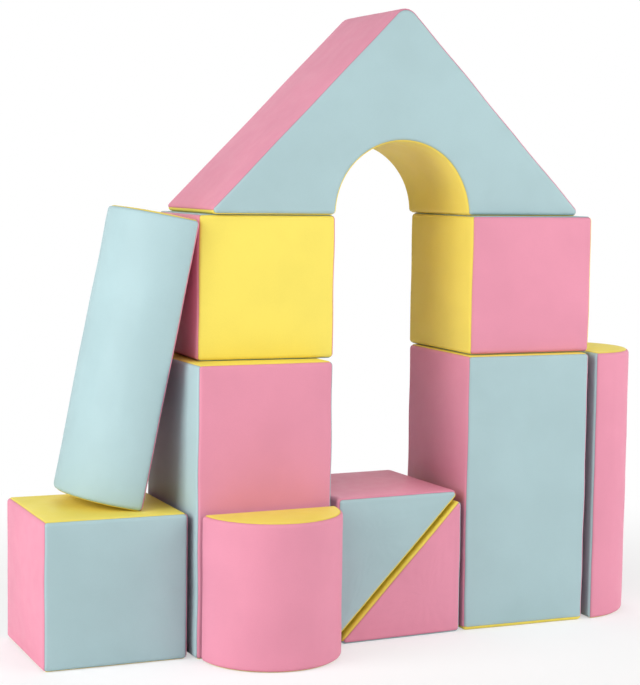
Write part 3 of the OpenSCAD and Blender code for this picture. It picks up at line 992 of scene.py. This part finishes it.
def between(few: np.ndarray) -> np.ndarray:
    """The matrix that spreads values at a few numbers to all numbers up to the last of them."""
    every = np.arange(few[-1] + 1)
    return np.array([np.interp(every, few, one) for one in np.eye(len(few))]).T


@dataclass
class Sheet:
    """The free part of one patch as it goes into the simulation.

    It is thinned to every second row and column, and pinned along its edges and beside the zip. Welding
    leaves a skin whose seam field says which points are pinned.

    Fields:
        block: The block.
        part: The name of the wall or face.
        patch: The patch.
        spread: The matrices that spread its rows and its columns back to those of the patch.
        skin: Its points and four-sided faces.
        threes: Its three-sided faces.
        place: The number of the point at each place of the thinned grid.
    """

    block: SoftBlock
    part: str
    patch: Patch
    spread: tuple[np.ndarray, np.ndarray] = field(init=False)
    skin: Skin = field(init=False)
    threes: np.ndarray = field(init=False)
    place: np.ndarray = field(init=False)

    def __post_init__(self) -> None:
        """Thins, pins and welds the free part."""
        patch, block = self.patch, self.block
        plain = block.to_block(patch.grid[patch.free])
        pinned = (patch.clear[patch.free] < TOUCH) | (block.zip_distance(plain) < MAKE.zip_pin)
        if patch.closes:
            plain, pinned = closed(plain), closed(pinned)
        kept = thinned(plain[:, 0]), thinned(plain[0])
        self.spread = between(kept[0]), between(kept[1])
        plain, pinned = plain[np.ix_(*kept)], pinned[np.ix_(*kept)]
        quads = grid_quads(*pinned.shape, flip=block.looks_in(self.part))
        whole = Skin(block.to_row(plain).reshape(-1, 3), quads, pinned.ravel().astype(float))
        self.skin, self.threes, place = welded(whole)
        self.place = place.reshape(pinned.shape)

    def keep(self, ways: np.ndarray) -> None:
        """Keeps the way outwards as the patch's bulge, brought down to its crown where it goes further.

        Args:
            ways: How far each point of the thinned grid has moved.
        """
        patch, block = self.patch, self.block
        out = block.to_block(patch.normals[patch.free]) @ block.place[:3, :3].T
        spread = np.einsum("ri,cj,ijx->rcx", *self.spread, ways, optimize=True)
        bulge = np.maximum(np.sum(spread[:, :out.shape[1]] * out, axis=2), 0)
        LOG.info("%s %s: blown up by %.1f mm of %.1f", block.name, self.part, bulge.max() / MM,
                 patch.crown / MM)
        bulge *= min(1.0, patch.crown / bulge.max())
        bulge *= 1 - np.exp(-(patch.clear[patch.free] / MAKE.clamp) ** 2)
        patch.bulge = np.zeros(patch.seam.shape)
        patch.bulge[patch.free] = bulge


@dataclass(frozen=True)
class Blower:
    """Blows all free panels up from inside in one cloth simulation, with pressure and no gravity."""

    frames: int = 20
    mass: float = 0.004
    pressure: float = 4.0
    stiffness: float = 15.0
    bending: float = 0.5

    def run(self, blocks: list[SoftBlock]) -> None:
        """Simulates the free panels of all blocks, laid out before.

        Args:
            blocks: The blocks.
        """
        sheets = [Sheet(block, part, patch) for block in blocks for part, patches in block.parts.items()
                  for patch in patches if patch.crown]
        starts = np.cumsum([0] + [len(sheet.skin.points) for sheet in sheets])
        faces = []
        for sheet, start in zip(sheets, starts):
            faces += (sheet.skin.quads + start).tolist() + (sheet.threes + start).tolist()
        pinned = np.concatenate([sheet.skin.seam for sheet in sheets]) > 0.5
        ways = self.blown(np.vstack([sheet.skin.points for sheet in sheets]), faces, pinned)
        for sheet, start in zip(sheets, starts):
            sheet.keep(ways[sheet.place + start])

    def blown(self, points: np.ndarray, faces: list[list[int]], pinned: np.ndarray) -> np.ndarray:
        """Runs the simulation.

        Args:
            points: The cloth at rest.
            faces: Its faces, which look outwards.
            pinned: Which points are held.

        Returns:
            How far each point has moved.
        """
        mesh = bpy.data.meshes.new("blown_cover")
        mesh.from_pydata(points.tolist(), [], faces)
        bag = bpy.data.objects.new("blown_cover", mesh)
        scene = bpy.context.scene
        scene.collection.objects.link(bag)
        bag.vertex_groups.new(name="pin").add(np.flatnonzero(pinned).tolist(), 1.0, "REPLACE")
        cloth = bag.modifiers.new("cloth", "CLOTH")
        facts = {"vertex_group_mass": "pin", "mass": self.mass, "use_pressure": True,
                 "uniform_pressure_force": self.pressure, "tension_stiffness": self.stiffness,
                 "compression_stiffness": self.stiffness, "shear_stiffness": self.stiffness,
                 "bending_stiffness": self.bending}
        for key, value in facts.items():
            setattr(cloth.settings, key, value)
        cloth.settings.effector_weights.gravity = 0.0
        cloth.collision_settings.use_collision = False
        cloth.point_cache.frame_start = 1
        cloth.point_cache.frame_end = self.frames
        for number in range(1, self.frames + 1):
            scene.frame_set(number)
        after = np.empty(len(points) * 3, np.float32)
        seen = bag.evaluated_get(bpy.context.evaluated_depsgraph_get())
        seen.data.vertices.foreach_get("co", after)
        bpy.data.objects.remove(bag)
        bpy.data.meshes.remove(mesh)
        scene.frame_set(1)
        return after.reshape(-1, 3) - points


@dataclass
class BoxBlock(SoftBlock):
    """A cube or a pillar: width and height in the outline, with the zip low on its back."""

    width: float = 300 * MM
    height: float = 300 * MM
    side_crown: float = 3.8 * MM
    foot_seam: float = MAKE.low_seam

    def walls(self) -> list[Wall]:
        """Bottom, right, top and left."""
        half, low, foot = self.width / 2, MAKE.low_seam, self.foot_seam
        sharp = [(-half, 0), (half, 0), (half, self.height), (-half, self.height)]
        a, b, c, d = (seam_beside(corner, foot if i < 2 else low, after=i % 2 == 0)
                      for i, corner in enumerate(polygon_corners(sharp, MAKE.edge)))
        return [plain_wall("bottom", a, b, rim=foot), plain_wall("right", b, c, crown=self.side_crown),
                plain_wall("top", c, d, rim=low), plain_wall("left", d, a, crown=self.side_crown)]

    def filling(self, core: np.ndarray) -> np.ndarray:
        """Rows from the bottom to the top."""
        bottom, right, top, left = (wall.flat_core for wall in self.outline)
        return four_sided(bottom, top[::-1], left[::-1], right)

    def face_sides(self, points: np.ndarray) -> list[np.ndarray]:
        """To the four sides of the flat part."""
        half = self.width / 2 - MAKE.edge
        return [points[..., 0] + half, half - points[..., 0], points[..., 1] - MAKE.edge,
                self.height - MAKE.edge - points[..., 1]]

    def zip_place(self) -> np.ndarray:
        """Across the back, near the bottom."""
        return shift(0, self.depth / 2, Zip.from_edge) @ turn("Z", 180) @ turn("X", 90)


@dataclass
class WedgeBlock(SoftBlock):
    """Half of a cube cut along its diagonal, with the zip low on its upright leg."""

    leg: float = 300 * MM
    base_crown: float = 0.0
    upright_crown: float = 2.6 * MM
    slope_crown: float = 3.6 * MM
    slope_rim: float = math.radians(60)

    def walls(self) -> list[Wall]:
        """Base, upright and slope; the base and the upright are one folded strip."""
        half = self.leg / 2
        a, b, c = polygon_corners([(-half, 0), (half, 0), (half, self.leg)], MAKE.edge)
        return [plain_wall("base", a, b, crown=self.base_crown, last_fold=True),
                plain_wall("upright", b, c, crown=self.upright_crown, first_fold=True),
                plain_wall("slope", c, a, self.slope_rim, crown=self.slope_crown)]

    def face_sides(self, points: np.ndarray) -> list[np.ndarray]:
        """To the base, the upright and the slope of the flat part."""
        half = self.leg / 2
        slope = (points[..., 0] + half - points[..., 1]) / math.sqrt(2)
        return [points[..., 1] - MAKE.edge, half - MAKE.edge - points[..., 0], slope - MAKE.edge]

    def filling(self, core: np.ndarray) -> np.ndarray:
        """Rings that close on the middle of the triangle's inner circle."""
        inner = self.leg * (1 - math.sqrt(0.5))
        return self.rings(core, np.array([self.leg / 2 - inner, inner]))

    def zip_place(self) -> np.ndarray:
        """Across the upright leg, near the base."""
        return shift(self.leg / 2, 0, Zip.from_edge) @ turn("Z", 90) @ turn("X", 90)


@dataclass
class HalfRoll(SoftBlock):
    """Half a cylinder that stands on one end, with the zip low on its flat face."""

    radius: float = 150 * MM
    end_middle: float = 0.48
    flat_crown: float = 2.6 * MM
    curve_crown: float = 2.2 * MM

    def walls(self) -> list[Wall]:
        """The curve and the flat."""
        reach = self.radius - MAKE.edge
        tip = math.sqrt(reach ** 2 - MAKE.edge ** 2)
        dip = math.asin(MAKE.edge / reach)
        high, up = math.pi / 2 - MAKE.low_seam, math.pi / 2
        right = Corner(np.array([tip, -MAKE.edge]), MAKE.edge, -dip, up, (up - dip) / 2, high)
        left = Corner(np.array([-tip, -MAKE.edge]), MAKE.edge, up, math.pi + dip, 3 * up / 2 + dip / 2, high)
        steps = round(math.pi * self.radius / MAKE.step)
        round_part = arc(np.zeros(2), self.radius, np.linspace(math.pi + dip, 2 * math.pi - dip, steps + 1))
        return [traced("curve", left, [round_part], right, high, crown=self.curve_crown),
                plain_wall("flat", right, left, high, crown=self.flat_crown)]

    def face_sides(self, points: np.ndarray) -> list[np.ndarray]:
        """To the flat and to the curve of the flat part."""
        return [-MAKE.edge - points[..., 1], self.radius - MAKE.edge - np.linalg.norm(points, axis=-1)]

    def filling(self, core: np.ndarray) -> np.ndarray:
        """Rings that close on a point between the flat and the curve."""
        return self.rings(core, np.array([0.0, -self.end_middle * self.radius]))

    def zip_place(self) -> np.ndarray:
        """Across the flat, near the lower end."""
        return shift(0, 0, Zip.from_edge - self.depth / 2) @ turn("Z", 180) @ turn("X", 90)


@dataclass
class ArchRoof(SoftBlock):
    """A gable block with a half-round archway in its base, and the zip on its back."""

    width: float = 880 * MM
    height: float = 445 * MM
    arch: float = 155 * MM
    ridge: float = 30 * MM
    corner_seam: float = math.radians(78)
    slope_crown: float = 3.4 * MM
    arch_steps: int = 60
    slope_steps: int = 27
    ridge_steps: int = 6

    def foot(self) -> tuple[float, float]:
        """Where the rounding between arch and base is centred, and how far its edge dips."""
        reach = self.arch + MAKE.edge
        return math.sqrt(reach ** 2 - MAKE.edge ** 2), math.asin(MAKE.edge / reach)

    def walls(self) -> list[Wall]:
        """Left base, arch, right base and the slopes as one strip over the ridge."""
        half, low, down = self.width / 2, MAKE.low_seam, -math.pi / 2
        left, right, top = polygon_corners([(-half, 0), (half, 0), (0, self.height)], MAKE.edge)
        left = replace(seam_beside(left, self.corner_seam, after=True), rim=low)
        right = replace(seam_beside(right, self.corner_seam, after=False), rim=low)
        foot_x, dip = self.foot()
        foot_left = Corner(np.array([-foot_x, MAKE.edge]), MAKE.edge, down, -dip, 0.0)
        foot_right = Corner(np.array([foot_x, MAKE.edge]), MAKE.edge, math.pi + dip, 1.5 * math.pi, 0.0)
        foot_left = seam_beside(foot_left, low, after=False)
        foot_right = seam_beside(foot_right, low, after=True)
        bend = arc(np.zeros(2), self.arch, np.linspace(math.pi - dip, dip, self.arch_steps + 1), hollow=True)
        lift = np.array([0.0, self.height - self.ridge / math.cos((top.after - top.before) / 2)])
        ridge = arc(lift, self.ridge, np.linspace(top.before, top.after, self.ridge_steps + 1))
        strip = [straight(right.leaving()[0][-1], ridge[0][0], self.slope_steps), ridge,
                 straight(ridge[0][-1], left.reaching()[0][0], self.slope_steps)]
        return [plain_wall("base_left", left, foot_left, low), traced("arch", foot_left, [bend], foot_right),
                plain_wall("base_right", foot_right, right, low),
                traced("slope", right, strip, left, crown=self.slope_crown)]

    def slope_distance(self, points: np.ndarray, side: int) -> np.ndarray:
        """From points to one slope's line, positive inside."""
        length = math.hypot(self.width / 2, self.height)
        return ((self.width / 2 - side * points[..., 0]) * self.height
                - points[..., 1] * self.width / 2) / length

    def face_sides(self, points: np.ndarray) -> list[np.ndarray]:
        """To both slopes, the base and the arch of the flat part; its last row lies on the edge."""
        last = np.ones(points.shape[:-1])
        last[-1] = 0.0
        return [self.slope_distance(points, 1) - MAKE.edge, self.slope_distance(points, -1) - MAKE.edge,
                points[..., 1] - MAKE.edge, np.linalg.norm(points, axis=-1) - self.arch - MAKE.edge, last]

    def filling(self, core: np.ndarray) -> np.ndarray:
        """Rows from the arch out to the slopes, between both feet."""
        left, bend, right, slopes = (wall.flat_core for wall in self.outline)
        return four_sided(bend, slopes[::-1], left[::-1], right)

    def zip_place(self) -> np.ndarray:
        """On the back, beside the right slope and half way up it."""
        half = self.width / 2
        slope = math.degrees(math.atan2(self.height, -half))
        out = np.array([self.height, half]) / math.hypot(half, self.height)
        at = np.array([half, self.height]) / 2 - out * Zip.from_edge
        return (shift(at[0], self.depth / 2, at[1]) @ turn("Y", 180 - slope) @ turn("Z", 180)
                @ turn("X", 90))


# Zips


def closed_slab(top: np.ndarray, floor: float) -> Skin:
    """A height field closed below by a flat floor and upright sides.

    Args:
        top: The upper grid.
        floor: The height of the floor.

    Returns:
        The closed surface.
    """
    low = top.copy()
    low[..., 2] = floor
    edges = ((top[0], low[0], True), (top[-1], low[-1], False),
             (top[:, 0], low[:, 0], False), (top[:, -1], low[:, -1], True))
    return joined([grid_skin(top), grid_skin(low, flip=True)]
                  + [grid_skin(np.stack([upper, under]), flip=flip) for upper, under, flip in edges])


def rounded(values: np.ndarray, power: float) -> np.ndarray:
    """Values from -1 to 1 drawn towards both ends: their size to a power, with their sign kept."""
    return np.sign(values) * np.abs(values) ** power


@dataclass(frozen=True)
class Zip:
    """The closed zip of a cover: a coil between two turned hems, and the wire loop on its slider."""

    length: float = 220 * MM
    from_edge: float = 36 * MM
    travel: float = 198 * MM
    slot: float = 6.9 * MM
    slot_end: float = 4 * MM
    coil_width: float = 5.3 * MM
    coil_rise: float = 0.4 * MM
    coil_sunk: float = 0.6 * MM
    coil_floor: float = -0.9 * MM
    coil_dip: float = 0.35
    pitch: float = 2.2 * MM
    hem_width: float = 6 * MM
    hem_over: float = 6 * MM
    hem_rise: float = 0.7 * MM
    hem_sunk: float = 0.25 * MM
    hem_floor: float = -0.6 * MM
    loop_long: float = 10 * MM
    loop_wide: float = 2.7 * MM
    loop_wire: float = 0.6 * MM
    loop_high: float = 2.3 * MM
    loop_fall: float = 0.06

    def coil(self) -> Skin:
        """Two rows of turns, out of step by half a pitch, falling to a slit between them.

        The height is coil_rise * (dip + (1 - dip) * sin(x) ** 2) times a round across each row.
        """
        x = np.linspace(-self.length / 2, self.length / 2, 1 + 4 * round(self.length / self.pitch))
        gx, gy = np.meshgrid(x, np.linspace(-1, 1, 9), indexing="ij")
        row = np.sqrt(np.maximum(0, 1 - (2 * np.abs(gy) - 1) ** 2))
        turns = np.sin(math.pi * (gx / self.pitch + 0.25 * np.sign(gy))) ** 2
        bumps = self.coil_dip + (1 - self.coil_dip) * turns
        high = (self.coil_rise + self.coil_sunk) * row * bumps - self.coil_sunk
        return closed_slab(np.stack([gx, gy * self.coil_width / 2, high], axis=2), self.coil_floor)

    def hem(self, side: int) -> Skin:
        """One turned hem beside the slot: a low round strip with rounded ends.

        The height is hem_rise * (1 - |across| ** 4) * (1 - |along| ** 24).
        """
        reach = self.length / 2 + self.slot_end + self.hem_over
        gu, gv = np.meshgrid(np.linspace(-1, 1, 61), np.linspace(-1, 1, 13), indexing="ij")
        middle = side * (self.slot + self.hem_width) / 2
        high = self.hem_rise * (1 - np.abs(gv) ** 4) * (1 - np.abs(gu) ** 24) - self.hem_sunk
        top = np.stack([gu * reach, middle + gv * self.hem_width / 2, high], axis=2)
        return closed_slab(top, self.hem_floor)

    def pull(self) -> Skin:
        """A wire loop that hangs on the slider's bridge and lies along the coil.

        It is an oval with flattened sides, of cos ** 0.7 by sin ** 0.5, that falls away from the slider.
        """
        angle = np.linspace(0, 2 * math.pi, 40, endpoint=False)
        x = self.loop_long * (0.9 + rounded(np.cos(angle), 0.7))
        y = self.loop_wide * rounded(np.sin(angle), 0.5)
        z = self.loop_high - self.loop_fall * x
        return tube(np.stack([x - self.travel / 2, y, z], axis=1), self.loop_wire, 10)

    def build(self, block: SoftBlock, cloth: bpy.types.Material, coil: bpy.types.Material,
              metal: bpy.types.Material) -> None:
        """Makes the zip of one block.

        Args:
            block: The block that carries it.
            cloth: The material of the panel around it.
            coil: The coil's material.
            metal: The slider's material.
        """
        pieces = (("zip_coil", self.coil(), coil, block.zip_cloth.value, block.name),
                  ("zip_hems", joined([self.hem(-1), self.hem(1)]), cloth, block.zip_cloth.value, block.name),
                  ("zip_loop", self.pull(), metal, "zip_metal", f"{block.name}_slider"))
        for name, skin, material, slot, body in pieces:
            skin.points = moved(moved(skin.points, block.zip_place()), block.place)
            piece = mesh_object(f"{block.name}_{name}", skin)
            piece.data.materials.append(material)
            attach(piece, body)
            LOG.info("%s: %d faces", piece.name, len(piece.data.polygons))
        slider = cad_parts[f"{block.name}_zip_slider"]
        slider.data.materials.clear()
        slider.data.materials.append(metal)


# The set


def beside(spot: np.ndarray, turned: float, off: Spot) -> np.ndarray:
    """A spot that lies off another one, along that one's own turned directions."""
    c, s = math.cos(math.radians(turned)), math.sin(math.radians(turned))
    return spot + (c * off[0] - s * off[1], s * off[0] + c * off[1])


@dataclass(frozen=True)
class Layout:
    """Where the blocks stand, in millimetres from the left pillar's middle, and in degrees.

    The first number of a spot goes to the right and the second to the back. Gaps lie between
    neighbours, offsets go from the block below, and turns are about the vertical. The middle is that
    of the whole set, where the row frame has its origin. The leaning roll touches the left top cube
    with its upper edge, where that cube's side swells a little.
    """

    middle: Spot = (242.06, -43.0147)
    module: float = 300.0
    seat: float = 0.3
    edge: float = 10.0
    corner_gap: float = 8.0
    corner_back: float = 18.0
    corner_turn: float = -1.5
    front_gap: float = 7.0
    front_shift: float = 6.0
    wedge_gap: float = 10.5
    wedge_back: float = -1.0
    wedge_split: float = 8.3
    wedge_turn: float = 1.4
    right_gap: float = 18.0
    right_turn: float = -2.4
    side_gap: float = 18.0
    left_top_off: Spot = (35.0, 62.0)
    left_top_turn: float = -3.8
    right_top_off: Spot = (10.0, 19.0)
    right_top_turn: float = -1.5
    roof_off: Spot = (-3.0, 4.0)
    roof_turn: float = -2.0
    lean: float = 11.3
    lean_shift: float = -18.0
    lean_swell: float = 1.053

    def at(self, spot: np.ndarray, height: float, turned: float = 0.0) -> np.ndarray:
        """From the frame of a block to the row frame, with its place rounded to a thousandth.

        Args:
            spot: The block's place, from the left pillar's middle.
            height: The height of its base.
            turned: Its turn about the vertical.

        Returns:
            The matrix.
        """
        x, y = np.round(spot, 3) - self.middle
        return shift(x * MM, y * MM, round(height, 3) * MM) @ turn("Z", turned)

    def places(self) -> dict[str, np.ndarray]:
        """From the frame of each block to the row frame, by the block's name."""
        cube, pillar = self.module, 2 * self.module
        corner = np.array([-cube - self.corner_gap, self.corner_back])
        left_top = np.array(self.left_top_off)
        wedge = np.array([cube + self.wedge_gap, self.wedge_back])
        right = wedge + (cube + self.right_gap, self.wedge_back)
        right_top = right + self.right_top_off
        roof = (left_top + right_top) / 2 + self.roof_off
        upper = cube + self.wedge_split * math.sqrt(2)
        run = 2 * (cube - self.edge) * math.sin(math.radians(self.lean))
        reach = cube / 2 + self.lean_swell + self.seat + self.edge + run
        foot = beside(left_top, self.left_top_turn, (-reach, self.lean_shift))
        leaning = (self.at(foot, cube + self.seat + self.edge, self.left_top_turn - 90)
                   @ turn("X", -self.lean) @ shift(0, self.edge * MM, -self.edge * MM))
        side = beside(right, self.right_turn, (cube / 2 + self.side_gap, 0.0))
        return {
            "left_pillar": self.at(np.zeros(2), 0),
            "right_pillar": self.at(right, 0, self.right_turn),
            "corner_cube": self.at(corner, 0, self.corner_turn),
            "left_top_cube": self.at(left_top, pillar + self.seat, self.left_top_turn),
            "right_top_cube": self.at(right_top, pillar + self.seat, self.right_top_turn),
            "front_roll": self.at(np.array([self.front_shift, -cube / 2 - self.front_gap]), 0),
            "leaning_roll": leaning,
            "side_roll": self.at(side, 0, self.right_turn + 90),
            "lower_wedge": self.at(wedge, 0, self.wedge_turn),
            "upper_wedge": self.at(wedge, upper, self.wedge_turn) @ turn("Y", 180),
            "arch_roof": self.at(roof, pillar + cube + 2 * self.seat, self.roof_turn),
        }


def box_panels(faces: Cloth, sides: Cloth, ends: Cloth) -> list[Panel]:
    """Panels of a cube or a pillar."""
    return [Panel("face_panels", faces, faces=True), Panel("side_panels", sides, ("right", "left")),
            Panel("end_panels", ends, ("bottom", "top"))]


def roll_panels(curve: Cloth, flat: Cloth, ends: Cloth) -> list[Panel]:
    """Panels of a half roll."""
    return [Panel("curved_panel", curve, ("curve",)), Panel("flat_panel", flat, ("flat",)),
            Panel("end_panels", ends, faces=True)]


def wedge_panels(faces: Cloth, legs: Cloth, slope: Cloth) -> list[Panel]:
    """Panels of a wedge."""
    return [Panel("face_panels", faces, faces=True), Panel("leg_panel", legs, ("base", "upright")),
            Panel("slope_panel", slope, ("slope",))]


def roof_panels(faces: Cloth, slope: Cloth, base: Cloth) -> list[Panel]:
    """Panels of the arch roof, whose archway is lined as its base is."""
    return [Panel("face_panels", faces, faces=True), Panel("slope_panel", slope, ("slope",)),
            Panel("base_panels", base, ("base_left", "base_right")), Panel("arch_lining", base, ("arch",))]


@dataclass
class Castle:
    """The whole set. Blocks are numbered as they are made, which shifts their covers' waves."""

    layout: Layout = Layout()
    box_swell: float = 3.8 * MM
    flat_swell: float = 3.0 * MM
    high_foot_seam: float = math.radians(78)
    made: list[SoftBlock] = field(default_factory=list)

    def add(self, kind: type[SoftBlock], name: str, panels: list[Panel], zipped: Cloth, length: float = 1.0,
            **facts) -> None:
        """Adds a block.

        Args:
            kind: The block's class.
            name: Its name, by which the layout has its place.
            panels: The panels of its cover.
            zipped: The colour of the panel that carries its zip.
            length: A roll's length or a box's height, in modules.
            facts: Other fields of the block.
        """
        place, module = self.layout.places()[name], self.layout.module * MM
        axes, depth, crown = Axes.UPRIGHT, module, (self.flat_swell, self.flat_swell)
        if kind is BoxBlock:
            crown = (self.box_swell, self.box_swell)
            facts["height"] = length * module
        if kind is HalfRoll:
            axes, depth, crown = Axes.LYING, length * module, (0.0, self.box_swell)
            place = place @ shift(0, 0, depth / 2)
        self.made.append(kind(name, place, depth, axes, panels, crown, len(self.made) + 1, zipped, **facts))

    def sew(self) -> None:
        """Adds every block with its colours."""
        blue, pink, yellow = Cloth.BLUE, Cloth.PINK, Cloth.YELLOW
        self.add(BoxBlock, "left_pillar", box_panels(pink, blue, yellow), pink, 2)
        self.add(BoxBlock, "right_pillar", box_panels(blue, pink, yellow), blue, 2,
                 foot_seam=self.high_foot_seam)
        self.add(BoxBlock, "corner_cube", box_panels(blue, pink, yellow), blue)
        self.add(BoxBlock, "left_top_cube", box_panels(yellow, pink, blue), yellow)
        self.add(BoxBlock, "right_top_cube", box_panels(pink, yellow, blue), pink)
        self.add(HalfRoll, "front_roll", roll_panels(pink, blue, yellow), blue)
        self.add(HalfRoll, "leaning_roll", roll_panels(blue, pink, yellow), pink, 2)
        self.add(HalfRoll, "side_roll", roll_panels(pink, blue, yellow), blue, 2)
        self.add(WedgeBlock, "lower_wedge", wedge_panels(pink, blue, yellow), blue)
        self.add(WedgeBlock, "upper_wedge", wedge_panels(blue, pink, yellow), pink, base_crown=self.box_swell)
        self.add(ArchRoof, "arch_roof", roof_panels(blue, pink, yellow), blue)

    def build(self) -> None:
        """Makes every block and its zip."""
        finishes = {cloth: finish.make() for cloth, finish in FINISHES.items()}
        coils = {cloth: finish.make() for cloth, finish in COILS.items()}
        foam, metal = FOAM_FINISH.make(), NICKEL.make()
        self.sew()
        for block in self.made:
            block.lay_out()
        Blower().run(self.made)
        for block in self.made:
            block.build(finishes, foam)
            Zip().build(block, finishes[block.zip_cloth], coils[block.zip_cloth], metal)


# Studio


@dataclass(frozen=True)
class Lamp:
    """A soft square lamp that looks at the castle."""

    name: str
    place: Colour
    size: float
    watts: float
    shines: bool = True
    aim: Colour = (0.0, 0.0, 0.6)

    def build(self) -> None:
        """Adds the lamp."""
        data = bpy.data.lights.new(self.name, "AREA")
        data.shape = "SQUARE"
        data.size = self.size
        data.energy = self.watts
        lamp = bpy.data.objects.new(self.name, data)
        lamp.location = self.place
        lamp.visible_glossy = self.shines
        lamp.rotation_mode = "QUATERNION"
        lamp.rotation_quaternion = (Vector(self.place) - Vector(self.aim)).to_track_quat("Z", "Y")
        bpy.context.scene.collection.objects.link(lamp)


LAMPS = (
    Lamp("left_lamp", (-3.3, -0.6, 1.6), 2.2, 104.0),
    Lamp("left_high_lamp", (-2.4, -2.4, 2.7), 2.0, 20.0),
    Lamp("front_lamp", (1.6, -3.2, 1.7), 2.0, 48.0),
    Lamp("right_lamp", (3.2, -1.6, 1.6), 2.0, 62.0),
    Lamp("top_lamp", (-0.2, -1.4, 3.6), 2.2, 20.0),
    Lamp("back_lamp", (0.8, 3.4, 1.8), 2.0, 76.0, shines=False),
)


@dataclass(frozen=True)
class Studio:
    """A white room: a floor that keeps the shadow, soft lamps and the photographer's camera."""

    lamps: tuple[Lamp, ...] = LAMPS
    sky: float = 0.06
    floor_tone: float = 0.93
    floor_mottle: float = 0.01
    floor_radius: float = 6.0
    floor_drop: float = 0.4 * MM
    floor_rings: int = 24
    floor_sides: int = 64
    white_share: float = 0.5
    near: float = 0.95
    far: float = 1.9
    sensor_mm: float = 36.0
    focal_px: float = 1788.0
    frame_px: float = 685.0
    farthest: float = 100.0
    eye: Colour = (-1.67806, -3.42099, 0.978)
    yaw: float = 25.11
    pitch: float = -5.28
    roll: float = 0.84

    def world(self) -> None:
        """White for the eye and for reflections, and an even soft light for the rest."""
        world = bpy.data.worlds.new("white_room")
        bpy.context.scene.world = world
        world.use_nodes = True
        nodes = Nodes(world.node_tree)
        path = nodes.node("LightPath").outputs
        seen = nodes.total(path["Is Camera Ray"], path["Is Glossy Ray"], use_clamp=True)
        seen = nodes.total(seen, path["Is Transmission Ray"], use_clamp=True)
        back = world.node_tree.nodes["Background"]
        back.inputs["Color"].default_value = WHITE
        world.node_tree.links.new(nodes.spread(seen, (0.0, self.sky), (1.0, 1.0)), back.inputs["Strength"])

    def floor(self) -> None:
        """A round floor that turns into plain white away from the castle."""
        radius, angle = np.meshgrid(np.linspace(0, self.floor_radius, self.floor_rings + 1),
                                    np.linspace(0, 2 * math.pi, self.floor_sides + 1), indexing="ij")
        level = np.full(radius.shape, -self.floor_drop)
        points = np.stack([radius * np.cos(angle), radius * np.sin(angle), level], axis=2)
        floor = mesh_object("studio_floor", grid_skin(points))
        sh = Shader("studio_floor")
        reach = sh.node("VectorMath", {0: sh.where}, operation="LENGTH").outputs["Value"]
        fade = sh.spread(reach, (self.near, self.white_share), (self.far, 1.0))
        seen = sh.node("LightPath").outputs["Is Camera Ray"]
        share = sh.node("Math", {0: fade, 1: seen}, operation="MULTIPLY").outputs[0]
        tones = self.floor_tone, self.floor_tone + self.floor_mottle
        tone = sh.blend(sh.noise(30.0, 2.0), (tones[0],) * 3, (tones[1],) * 3)
        paint = sh.node("BsdfPrincipled", {"Base Color": tone, "Roughness": 0.9, "Specular IOR Level": 0.1})
        white = sh.node("Emission", {"Color": WHITE, "Strength": 1.0})
        mixed = sh.node("MixShader", {0: share, 1: paint.outputs["BSDF"], 2: white.outputs["Emission"]})
        floor.data.materials.append(sh.finish(mixed.outputs["Shader"]))

    def camera(self) -> None:
        """The camera fitted to the photograph: place, yaw, pitch and roll."""
        yaw, pitch, roll = (math.radians(a) for a in (self.yaw, self.pitch, self.roll))
        ahead = np.array([math.sin(yaw) * math.cos(pitch), math.cos(yaw) * math.cos(pitch), math.sin(pitch)])
        level = np.array([math.cos(yaw), -math.sin(yaw), 0.0])
        above = np.cross(level, ahead)
        right = math.cos(roll) * level + math.sin(roll) * above
        up = -math.sin(roll) * level + math.cos(roll) * above
        data = bpy.data.cameras.new("camera")
        data.sensor_width = self.sensor_mm
        data.sensor_fit = "AUTO"
        data.lens = self.focal_px / self.frame_px * self.sensor_mm
        data.clip_end = self.farthest
        pose = np.eye(4)
        pose[:3] = np.column_stack([right, up, -ahead, self.eye])
        eye = bpy.data.objects.new("camera", data)
        eye.matrix_world = Matrix(pose.tolist())
        bpy.context.scene.collection.objects.link(eye)
        bpy.context.scene.camera = eye

    def build(self) -> None:
        """Sets up the room."""
        bpy.context.scene.view_settings.view_transform = "Standard"
        self.world()
        self.floor()
        self.camera()
        for lamp in self.lamps:
            lamp.build()


def main() -> None:
    """Builds the studio and the castle."""
    logging.basicConfig(level=logging.INFO, format="%(name)s: %(message)s")
    Studio().build()
    Castle().build()
    bpy.context.view_layer.update()


if __name__ == "__main__":
    main()
